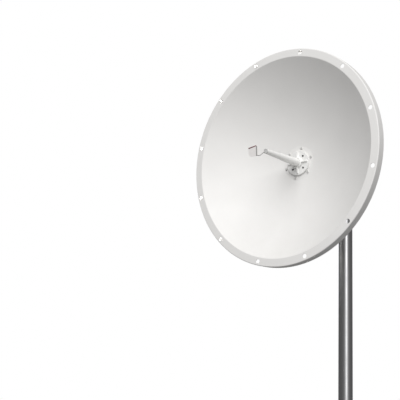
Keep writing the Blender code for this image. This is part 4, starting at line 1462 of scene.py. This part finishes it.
@dataclass
class Hub(SubAssembly):
    """The disc behind the bowl with its six bolt sets and the feed's connector."""

    bowl: BowlSizes
    radius: float = 0.085
    thickness: float = 0.008
    connector_flange: float = 0.016
    connector_flange_thickness: float = 0.003
    connector_neck: float = 0.0065
    connector_radius: float = 0.008
    connector_length: float = 0.022
    connector_neck_length: float = 0.0073
    connector_pitch: float = 0.001
    connector_wall: float = 0.0008
    connector_pin: float = 0.0014
    connector_bore: float = 0.010
    connector_mouth: float = 0.003
    connector_mouth_step: float = 0.0002
    connector_screws: int = 4
    connector_screw_inset: float = 0.0038
    connector_screw_radius: float = 0.0024
    connector_screw_taper: float = 0.0002
    connector_screw_rise: float = 0.0012
    connector_screw_dome: float = 0.0004
    connector_slot_depth: float = 0.0005
    connector_slot_half: float = 0.0003

    def __post_init__(self) -> None:
        """Finds the heights of the disc's two faces."""
        self.front = self.bowl.seat - self.bowl.sheet - GAP
        self.rear = self.front - self.thickness

    def build(self, tilt_rear: float) -> None:
        """Builds the disc, the bolts and the connector.

        Args:
            tilt_rear: Height of the tilt plate's rear face, where the nuts sit.
        """
        b = self.bowl
        plate = Solid.turned(section(b.centre_hole, self.radius, self.rear, self.front), 96).softened(0.0008)
        plate.cut(*b.bores(self.rear, self.front))
        self.fit("hub_disc", plate, Slot.GALVANISED, "hub_plate")
        master = BoltSet(SIX, b.seat - tilt_rear).solid()
        sets = []
        for x, y in b.hub_places:
            turned = master.copy().moved(Matrix.Rotation(math.atan2(y, x), 4, "Z"))
            sets.append(turned.shifted(x, y, b.seat))
        self.fit_row("hub_bolt_set", sets, Slot.STAINLESS, "hub_bolt")
        self.build_connector()

    def build_connector(self) -> None:
        """Builds the coaxial connector: flange, neck, threaded barrel, socket and pin."""
        top = self.rear - GAP
        flange = top - self.connector_flange_thickness
        collar = flange - self.connector_neck_length
        end = flange - self.connector_length
        wide, neck, past = self.connector_flange, self.connector_neck, collar - CUT_PAST
        base = [(0, top), (wide, top), (wide, flange), (neck, flange), (neck, past), (0, past)]
        body = Solid.turned(base, 64).softened(0.0003)
        kind = Fastener(self.connector_radius, self.connector_pitch)
        body.joined(kind.thread(Vector((0, 0, collar)), Vector((0, 0, end))))
        wall = self.connector_radius - kind.depth - self.connector_wall
        bore, mouth = end + self.connector_bore, end + self.connector_mouth
        body.cut(Solid.turned(section(self.connector_pin, wall, bore, end - CUT_PAST), 48))
        body.cut(Solid.turned(section(0, wall - self.connector_mouth_step, mouth, end - CUT_PAST), 48))
        circle = wide - self.connector_screw_inset
        places = ring_places(self.connector_screws, circle, math.pi / self.connector_screws)
        body.joined(*[self.connector_screw(flange).shifted(x, y) for x, y in places])
        self.fit("coaxial_connector", body, Slot.PLATED_BRASS, "feed_connector")

    def connector_screw(self, seat: float) -> Solid:
        """A slotted screw head, rooted a little in the flange that it stands on.

        Args:
            seat: Height of the flange's rear face.

        Returns:
            The head, on the axis.
        """
        wide, dome, half = self.connector_screw_radius, self.connector_screw_dome, self.connector_slot_half
        low, high = seat - self.connector_screw_rise, seat + dome
        head = [(0, low), (wide - self.connector_screw_taper, low + dome), (wide, high), (0, high)]
        reach = wide + CUT_PAST
        deep = low + self.connector_slot_depth
        slot = Solid.block((-reach, -half, low - CUT_PAST), (reach, half, deep))
        return Solid.turned(head, 24).cut(slot)


@dataclass
class PivotPlaces:
    """Where the two cross bolts and the upright rod stand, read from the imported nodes."""

    cheek: float = 0.006
    fin: float = 0.006
    hole_radius: float = 0.0056
    slot_half_angle: float = math.radians(10)

    @property
    def pivot(self) -> Vector:
        """Middle of the pivot bolt."""
        return NodeBox.of("pivot_bolt").centre

    @property
    def lock(self) -> Vector:
        """Middle of the lock bolt."""
        return NodeBox.of("lock_bolt").centre

    @property
    def rod(self) -> NodeBox:
        """Box of the upright rod."""
        return NodeBox.of("elevation_rod")

    @property
    def fin_face(self) -> float:
        """Place of the fin's left face along X."""
        return -self.fin / 2

    @property
    def cheek_face(self) -> float:
        """Place of the cheek's left face along X."""
        return self.fin_face - GAP - self.cheek

    def cross_hole(self, centre: Vector, low: float, high: float) -> Solid:
        """Waste of a bolt hole along X, through a plate between two places."""
        return Solid.bore(self.hole_radius, low, high).moved(ACROSS).shifted(0, centre.y, centre.z)

    def lock_slot(self) -> Solid:
        """Waste of the curved slot in the cheek.

        Returns:
            A curved block with round ends.
        """
        reach = self.lock.z - self.pivot.z
        start = QUARTER - self.slot_half_angle
        sweep = 2 * self.slot_half_angle
        last = (reach * math.cos(start + sweep), reach * math.sin(start + sweep))
        first = (reach * math.cos(start), reach * math.sin(start))
        slot = arc((0, 0), reach + self.hole_radius, start, sweep, 10)
        slot += arc(last, self.hole_radius, start + sweep, math.pi, 8)[1:-1]
        slot += arc((0, 0), reach - self.hole_radius, start + sweep, -sweep, 10)
        slot += arc(first, self.hole_radius, start + math.pi, math.pi, 8)[1:-1]
        waste = Solid.plate(slot, self.cheek_face - CUT_PAST, self.fin_face + CUT_PAST)
        stand = Matrix.Translation((0, self.pivot.y, self.pivot.z))
        return waste.moved(stand @ ACROSS @ Matrix.Rotation(QUARTER, 4, "Z"))

    def rod_hole(self, low: float, high: float) -> Solid:
        """Waste of the rod's hole between two heights."""
        return Solid.bore(self.hole_radius, low, high).shifted(self.rod.centre.x, self.rod.centre.y)


@dataclass
class TiltBracket(SubAssembly):
    """The angle on the hub: plate, cheek, two gussets and the upper lug."""

    hub: Hub
    places: PivotPlaces
    dish: Matrix
    left: float = 0.090
    height: float = 0.190
    thickness: float = 0.006
    bend: float = 0.008
    cheek_reach: float = 0.094
    gusset: float = 0.040
    gusset_height: float = 0.080
    lug: float = 0.006
    lug_half_depth: float = 0.015
    lug_edge: float = 0.014
    lug_inset: float = 0.0065
    opening_radius: float = 0.028
    lug_bore: float = 0.03
    edge: float = 0.0007
    weld_radius: float = 0.0028
    weld_start: float = 0.06

    def __post_init__(self) -> None:
        """Finds the plate's two faces and the cheek's."""
        self.front = self.hub.rear - GAP
        self.rear = self.front - self.thickness
        self.cheek_left = self.places.cheek_face - self.dish.translation.x
        self.cheek_right = self.cheek_left + self.thickness

    def build(self) -> None:
        """Builds the bracket and its weld beads."""
        half, front, rear = self.height / 2, self.front, self.rear
        cheek_rear = rear - self.cheek_reach
        corners = [(-self.left, front), (-self.left, rear), (self.cheek_left, rear)]
        corners += [(self.cheek_left, cheek_rear), (self.cheek_right, cheek_rear), (self.cheek_right, front)]
        outline = rounded(corners, [0, 0, self.bend - self.thickness, 0, 0, self.bend], 8)
        body = Solid.plate(outline, -half, half).softened(self.edge).moved(TO_SIDE)
        body.joined(*self.gussets(), self.upper_lug())
        holes = self.hub.bowl.hub_bores(rear, front)
        body.cut(*holes, Solid.bore(self.opening_radius, rear, front, 0.0005, 64)).moved(self.dish)
        p = self.places
        body.cut(p.cross_hole(p.pivot, p.cheek_face, p.fin_face - GAP), p.lock_slot())
        lug_top = NodeBox.of("tilt_bracket").high.z
        body.cut(p.rod_hole(lug_top - self.lug_bore, lug_top))
        self.fit("tilt_angle", body, Slot.GALVANISED, "tilt_bracket")
        self.build_welds()

    def gussets(self) -> list[Solid]:
        """The two ribs between plate and cheek.

        Returns:
            The ribs in the dish's frame.
        """
        half, cheek, rear = self.thickness / 2, self.cheek_left, self.rear
        far, deep = cheek - self.gusset, rear - self.gusset
        rib = [(cheek + half, rear + half), (far, rear + half), (far, rear - half)]
        rib += [(cheek - half, deep), (cheek + half, deep)]
        master = Solid.plate(rib, -half, half).softened(self.edge).moved(TO_SIDE)
        return [master.copy().shifted(y=side * self.gusset_height) for side in (-1, 1)]

    def upper_lug(self) -> Solid:
        """The lug that the rod's upper end passes through.

        Returns:
            The lug in the dish's frame.
        """
        top = self.height / 2 - self.lug_inset + self.lug
        centre = self.places.rod.centre
        rod = self.dish.inverted() @ Vector((centre.x, centre.y, self.dish.translation.z))
        low = (self.cheek_left + self.thickness / 2, top - self.lug, rod.z - self.lug_half_depth)
        high = (rod.x + self.lug_edge, top, rod.z + self.lug_half_depth)
        return Solid.block(low, high).softened(self.edge)

    def build_welds(self) -> None:
        """Lays beads in the corners of the ribs."""
        beads = []
        half = self.thickness / 2
        for y in (side * self.gusset_height + face for side in (-1, 1) for face in (-half, half)):
            corner = Vector((self.cheek_left, y, self.rear))
            for run in (Vector((-self.gusset, 0, 0)), Vector((0, 0, -self.gusset))):
                bead = WeldBead.between(corner + run * self.weld_start, corner + run, self.weld_radius)
                beads.append(bead.moved(self.dish))
        self.fit_row("tilt_weld", beads, Slot.GALVANISED)


@dataclass
class PoleBracket(SubAssembly):
    """The tee on the pole: clamp plate, fin and lower lug."""

    width: float = 0.110
    height: float = 0.190
    thickness: float = 0.008
    corner: float = 0.010
    fin_corner: float = 0.025
    lug: float = 0.006
    lug_half_depth: float = 0.015
    lug_edge: float = 0.014
    edge: float = 0.0007
    lug_weld: float = 0.0024

    def build(self, places: PivotPlaces) -> None:
        """Builds the bracket and its weld beads.

        Args:
            places: The cross bolts and the rod.
        """
        box = NodeBox.of("pole_bracket")
        middle, half = box.centre.z, self.height / 2
        rear = box.high.y
        front = rear - self.thickness
        plate = Solid.plate(panel(self.width / 2, half, self.corner, 8), -rear, -front).softened(self.edge)
        leg = NodeBox.of("u_bolt_lower").size.x / 2 - TEN.radius
        levels = [NodeBox.of(f"u_bolt_{level}").centre.z - middle for level in ("lower", "upper")]
        holes = [(x, z) for x in (-leg, leg) for z in levels]
        body = plate.cut(*Solid.bores(holes, places.hole_radius, -rear, -front)).moved(TO_SIDE)
        tall, side = half - self.corner, places.fin / 2
        root, reach = -(front + rear) / 2, -box.low.y
        fin = [(reach, tall), (root, tall), (root, -tall), (reach, -tall)]
        fin_plate = Solid.plate(rounded(fin, [self.fin_corner, 0, 0, self.fin_corner], 10), -side, side)
        body.joined(fin_plate.softened(self.edge).moved(Matrix.Rotation(-QUARTER, 4, "Z") @ TO_SIDE))
        rod = places.rod.centre
        lug_low = NodeBox.of("rod_nut_1").high.z + GAP - middle
        near, far = rod.y - self.lug_half_depth, rod.y + self.lug_half_depth
        lug = Solid.block((0, near, lug_low), (rod.x + self.lug_edge, far, lug_low + self.lug))
        body.joined(lug.softened(self.edge)).shifted(z=middle)
        body.cut(*[places.cross_hole(centre, -side, side) for centre in (places.pivot, places.lock)])
        body.cut(places.rod_hole(lug_low + middle, lug_low + middle + self.lug))
        self.fit("pole_tee", body, Slot.GALVANISED, "pole_bracket")
        beads = []
        for x in (-side, side):
            ends = [Vector((x, front, middle + z)) for z in (-tall, tall)]
            beads.append(WeldBead.between(*ends))
        for z in (lug_low, lug_low + self.lug):
            ends = [Vector((side, y, middle + z)) for y in (near, far)]
            beads.append(WeldBead.between(*ends, self.lug_weld))
        self.fit_row("tee_weld", beads, Slot.GALVANISED)


@dataclass
class ElevationGear(SubAssembly):
    """The two cross bolts, the upright rod and its four nuts."""

    washer: float = 0.002

    def build(self, places: PivotPlaces) -> None:
        """Builds the fasteners at their places.

        Args:
            places: The cross bolts and the rod.
        """
        grip = places.fin / 2 - places.cheek_face
        master = BoltSet(TEN, grip, washer=self.washer).solid()
        master.moved(Matrix.Rotation(-QUARTER, 4, "Y")).shifted(places.cheek_face)
        for name, centre in (("pivot", places.pivot), ("lock", places.lock)):
            bolt = master.copy().shifted(0, centre.y, centre.z)
            self.fit(f"{name}_bolt_set", bolt, Slot.STAINLESS, f"{name}_bolt")
        rod = places.rod
        ends = [Vector((rod.centre.x, rod.centre.y, z)) for z in (rod.low.z, rod.high.z)]
        self.fit("threaded_rod", TEN.thread(*ends), Slot.STAINLESS, "elevation_rod")
        boxes = [NodeBox.of(f"rod_nut_{i + 1}") for i in range(4)]
        nuts = [TEN.nut_ring(box.low.z, box.high.z).shifted(box.centre.x, box.centre.y) for box in boxes]
        self.fit_row("adjusting_nut", nuts, Slot.STAINLESS, "rod_nut")


@dataclass
class PoleClamps(SubAssembly):
    """Two U-bolts round the pole with their saddles and nuts."""

    saddle_wrap: float = 0.024
    saddle_half_width: float = 0.029
    saddle_corner: float = 0.004
    thread_length: float = 0.045

    def build(self) -> None:
        """Builds both clamps."""
        for level in ("lower", "upper"):
            self.build_u_bolt(level)
            self.build_saddle(level)
            for hand in ("left", "right"):
                node = f"u_bolt_nut_{level}_{hand}"
                box = NodeBox.of(node)
                nut = TEN.nut_ring(-box.size.y / 2, box.size.y / 2).moved(TO_SIDE)
                nut.moved(Matrix.Translation(box.centre))
                self.fit(f"clamp_nut_{level}_{hand}", nut, Slot.STAINLESS, node)

    def build_u_bolt(self, level: str) -> None:
        """Bends one bar and cuts the thread on both of its legs.

        Args:
            level: Which of the two clamps.
        """
        box = NodeBox.of(f"u_bolt_{level}")
        radius, height = box.size.x / 2 - TEN.radius, box.centre.z
        step = TEN.pitch * TEN.turns_per_step
        (left, left_end), (right, right_end) = [
            [Vector((side * radius, box.low.y + along, height)) for along in (0.0, self.thread_length)]
            for side in (-1, 1)
        ]
        bend = [Vector((x, y, height)) for x, y in arc((0, 0), radius, math.pi, -math.pi, 32)]
        path = straight(left, left_end, step) + bend + straight(right_end, right, step)
        whole = path_length(path)
        threaded = TEN.radius_along(whole)

        def radius_at(run: float, angle: float) -> float:
            """Threaded near both tips, plain between."""
            return TEN.radius if min(run, whole - run) > self.thread_length else threaded(run, angle)

        self.fit(f"bent_u_bolt_{level}", Solid.bar(path, radius_at), Slot.GALVANISED, f"u_bolt_{level}")

    def build_saddle(self, level: str) -> None:
        """Cuts one saddle block to the pole's curve.

        Args:
            level: Which of the two clamps.
        """
        box = NodeBox.of(f"pole_saddle_{level}")
        reach = NodeBox.of("mast_pole").size.x / 2 + GAP
        wrap = math.asin(self.saddle_wrap / reach)
        side, front, wide = -reach * math.cos(wrap), box.low.y, self.saddle_half_width
        outline = [(-wide, side), (-wide, front), (wide, front), (wide, side)]
        outline = rounded(outline, [0, self.saddle_corner, self.saddle_corner, 0], 6)
        outline += arc((0, 0), reach, -QUARTER + wrap, -2 * wrap, 20)
        block = Solid.plate(outline, box.low.z, box.high.z).softened(0.0006)
        self.fit(f"shaped_saddle_{level}", block, Slot.GALVANISED, f"pole_saddle_{level}")


@dataclass
class Mast(SubAssembly):
    """The pole, its cap and its welded foot."""

    wall: float = 0.0032
    edge: float = 0.0005
    brim_round: float = 0.003
    brim_edge: float = 0.0004
    plug_edge: float = 0.001
    foot_corner: float = 0.015
    foot_thickness: float = 0.012
    anchor_spacing: float = 0.190
    anchor_radius: float = 0.009
    gusset_length: float = 0.070
    gusset_height: float = 0.100
    gusset: float = 0.008
    gusset_toe: float = 0.010
    gusset_weld: float = 0.0034
    gusset_weld_inset: float = 0.003
    pole_weld: float = 0.0036
    pole_weld_offset: float = 0.001
    pole_weld_steps: int = 320

    def build(self) -> None:
        """Builds the pole, the cap, the foot and its welds."""
        pole = NodeBox.of("mast_pole")
        radius, edge = pole.size.x / 2, self.edge
        inner = radius - self.wall
        low, high = pole.low.z, pole.high.z
        tube = [(inner, high), (radius - edge, high), (radius, high - edge)]
        tube += [(radius, low + edge), (radius - edge, low), (inner, low)]
        self.fit("steel_pole", Solid.turned(tube, 128), Slot.POLE_STEEL, "mast_pole")
        self.build_cap(inner - GAP, high + GAP)
        self.build_foot(radius)

    def build_cap(self, plug: float, seat: float) -> None:
        """Builds the moulded cap with a round brim and a plug.

        Args:
            plug: Radius of the plug.
            seat: Height of the brim's underside.
        """
        box = NodeBox.of("pole_cap")
        brim, top, low = box.size.x / 2, box.high.z, box.low.z
        soft, edge, tip = self.brim_round, self.brim_edge, self.plug_edge
        cap = [(0, top), *arc((brim - soft, top - soft), soft, QUARTER, -QUARTER, 8)]
        cap += [(brim, seat + edge), (brim - edge, seat), (plug, seat)]
        cap += [(plug, low + tip), (plug - tip, low), (0, low)]
        self.fit("moulded_cap", Solid.turned(cap, 96), Slot.CAP_BLACK, "pole_cap")

    def build_foot(self, radius: float) -> None:
        """Builds the foot plate with its gussets and lays the weld beads.

        Args:
            radius: Outer radius of the pole.
        """
        half, top = NodeBox.of("mast_foot").size.x / 2, self.foot_thickness
        plate = Solid.plate(panel(half, half, self.foot_corner, 10), 0, top).softened(0.001)
        anchor = self.anchor_spacing / 2
        holes = [(x, y) for x in (-anchor, anchor) for y in (-anchor, anchor)]
        plate.cut(*Solid.bores(holes, self.anchor_radius, 0, top, 0.0006))
        near = radius + GAP
        far, crest = near + self.gusset_length, top + self.gusset_height
        profile = [(near, top / 2), (far, top / 2), (far, top + self.gusset_toe)]
        profile += [(near + self.gusset_toe, crest), (near, crest)]
        side = self.gusset / 2
        beads = []
        for i in range(4):
            turn = Matrix.Rotation(QUARTER * i, 4, "Z")
            rib = Solid.plate(profile, -side, side).softened(0.0008).moved(TO_SIDE)
            plate.joined(rib.moved(turn))
            for face in (-side, side):
                root = Vector((near + self.gusset_weld_inset, face, top))
                for end in (Vector((far, face, top)), Vector((near, face, crest))):
                    beads.append(WeldBead.between(root, end, self.gusset_weld).moved(turn))
        self.fit("welded_foot", plate, Slot.POLE_STEEL, "mast_foot")
        self.fit_row("foot_weld", beads, Slot.POLE_STEEL)
        ring = arc((0, 0), radius + self.pole_weld_offset, 0, math.tau, self.pole_weld_steps)
        circle = [Vector((x, y, top)) for x, y in ring]
        self.fit("pole_weld", WeldBead(circle, self.pole_weld).solid(), Slot.POLE_STEEL)


@dataclass(frozen=True)
class Lamp:
    """A rectangular soft light that faces a point, and the pieces that it lights."""

    name: str
    aim: Vector
    toward: Sequence[float]
    size: tuple[float, float]
    power: float
    spread: float = 180.0
    only: Sequence[bpy.types.Object] = ()
    without: Sequence[bpy.types.Object] = ()

    def hang(self) -> None:
        """Makes the lamp and names the pieces that it lights or passes over."""
        light = bpy.data.lights.new(self.name, "AREA")
        light.shape = "RECTANGLE"
        light.size, light.size_y = self.size
        light.energy = self.power
        light.spread = math.radians(self.spread)
        lamp = bpy.data.objects.new(self.name, light)
        lamp.visible_camera = False
        bpy.context.scene.collection.objects.link(lamp)
        toward = Vector(self.toward)
        lamp.location = self.aim + toward
        lamp.rotation_euler = toward.to_track_quat("Z", "Y").to_euler()
        group = bpy.data.collections.new(f"{self.name}_pieces")
        for piece in (*self.only, *self.without):
            group.objects.link(piece)
        for row in group.collection_objects:
            row.light_linking.link_state = "INCLUDE" if self.only else "EXCLUDE"
        lamp.light_linking.receiver_collection = group
        if self.only:
            lamp.light_linking.blocker_collection = group


@dataclass
class Studio:
    """The pale floor, the soft lights, the bright surroundings and the camera."""

    dish: Matrix
    bowl_pieces: Sequence[bpy.types.Object]
    mast_pieces: Sequence[bpy.types.Object]
    lens: float = 69.84
    sensor: float = 36.0
    camera_offset: tuple[float, float, float] = (1.90908, -2.60171, -1.10637)
    camera_turn: tuple[float, float, float] = (105.50, -2.869, 41.43)
    floor_side: float = 14.0
    surroundings: float = 0.215
    backdrop: float = 1.0
    key_offset: tuple[float, float, float] = (6.76, -9.58, 7.66)
    key_side: float = 14.0
    key_power: float = 2600.0
    strip_aim: tuple[float, float, float] = (0.0, 0.0, 1.2)
    strip_offset: tuple[float, float, float] = (2.34, -2.18, 0.0)
    strip_size: tuple[float, float] = (0.5, 2.4)
    strip_power: float = 56.0
    lip_radius: float = 0.484
    lip_depth: float = 0.040
    rim_lamp_side: float = 0.15
    rim_lamp_spread: float = 10.0

    def build(self) -> None:
        """Sets everything round the antenna."""
        self.build_floor()
        self.build_world()
        self.build_lights()
        self.build_camera()
        bpy.context.scene.view_settings.view_transform = "Standard"

    def build_floor(self) -> None:
        """Lays a pale floor under the foot, darker in the light that it sends back."""
        shape = bmesh.new()
        bmesh.ops.create_grid(shape, x_segments=8, y_segments=8, size=self.floor_side / 2)
        data = bpy.data.meshes.new("studio_floor")
        shape.to_mesh(data)
        shape.free()
        material = bpy.data.materials.new("floor_pale")
        material.use_nodes = True
        bench = Bench(material.node_tree)
        clouds = bench.noise(bench.add("ShaderNodeTexCoord").outputs["Object"], 1.2)
        pale = bench.blend(clouds, (0.74, 0.74, 0.74), (0.70, 0.70, 0.70))
        dim = bench.blend(clouds, (0.30, 0.30, 0.30), (0.28, 0.28, 0.28))
        seen = bench.add("ShaderNodeLightPath").outputs["Is Camera Ray"]
        shader = bench.tree.nodes["Principled BSDF"].inputs
        bench.tree.links.new(bench.blend(seen, dim, pale), shader["Base Color"])
        shader["Roughness"].default_value = 0.7
        data.materials.append(material)
        floor = bpy.data.objects.new("studio_floor", data)
        bpy.context.scene.collection.objects.link(floor)

    def build_world(self) -> None:
        """White surroundings for the camera, softer ones for the light they give."""
        world = bpy.data.worlds.new("studio")
        world.use_nodes = True
        bench = Bench(world.node_tree)
        bench.tree.nodes.clear()
        shares = {0: bench.add("ShaderNodeLightPath").outputs["Is Camera Ray"]}
        for i, strength in enumerate((self.surroundings, self.backdrop), 1):
            inputs = {"Color": (1.0, 1.0, 1.0, 1.0), "Strength": strength}
            shares[i] = bench.add("ShaderNodeBackground", inputs).outputs[0]
        both = bench.add("ShaderNodeMixShader", shares).outputs[0]
        bench.add("ShaderNodeOutputWorld", {"Surface": both})
        bpy.context.scene.world = world

    def build_lights(self) -> None:
        """One very large key light, and a tall strip that only the mast reflects."""
        middle, mast = self.dish.translation, self.mast_pieces
        key_size = (self.key_side, self.key_side)
        Lamp("key_light", middle, self.key_offset, key_size, self.key_power, without=mast).hang()
        aim = Vector(self.strip_aim)
        Lamp("strip_light", aim, self.strip_offset, self.strip_size, self.strip_power, only=mast).hang()
        self.build_rim_lights()

    def build_rim_lights(self) -> None:
        """Narrow lamps behind the bowl, which alone receives them, so that its far holes look white."""
        size = (self.rim_lamp_side, self.rim_lamp_side)
        rows = [(turn, 1.06, 1.70, 0.19) for turn in range(75, 196, 24)]
        rows += [(turn, 1.52, 1.30, 0.32) for turn in range(195, 246, 16)]
        for turn, rear, inward, power in rows:
            angle = math.radians(turn)
            outward = Vector((math.cos(angle), math.sin(angle), 0))
            aim = self.dish @ (outward * self.lip_radius + Vector((0, 0, -self.lip_depth / 2)))
            toward = self.dish.to_3x3() @ (Vector((0, 0, -rear)) - outward * inward)
            name = f"rim_light_{turn}"
            Lamp(name, aim, toward, size, power, self.rim_lamp_spread, self.bowl_pieces).hang()

    def build_camera(self) -> None:
        """Stands the camera below and to the right of the dish."""
        data = bpy.data.cameras.new("camera")
        data.lens = self.lens
        data.sensor_width = self.sensor
        camera = bpy.data.objects.new("camera", data)
        bpy.context.scene.collection.objects.link(camera)
        camera.location = self.dish.translation + Vector(self.camera_offset)
        camera.rotation_euler = Euler([math.radians(angle) for angle in self.camera_turn])
        bpy.context.scene.camera = camera


def main() -> None:
    """Builds the antenna piece by piece, then its surroundings."""
    logging.basicConfig(level=logging.INFO, format="%(message)s")
    dish = DishFrame()
    place, still = dish.place, Matrix()
    shop, bowl, places = Paintshop(dish), BowlSizes(), PivotPlaces()
    hub = Hub(shop, place, bowl)
    tilt = TiltBracket(shop, still, hub, places, place)
    feed = Feed(shop, place, bowl, hub.rear)
    reflector = Reflector(shop, place, bowl, dish.outer_radius, dish.rim_circle)
    mast = Mast(shop, still)
    reflector.build()
    feed.build()
    FeedHead(shop, place).build(feed.tube_reach + GAP + feed.cap)
    hub.build(tilt.rear)
    tilt.build()
    PoleBracket(shop, still).build(places)
    ElevationGear(shop, still).build(places)
    PoleClamps(shop, still).build()
    mast.build()
    Studio(place, reflector.pieces, mast.pieces).build()


if __name__ == "__main__":
    main()
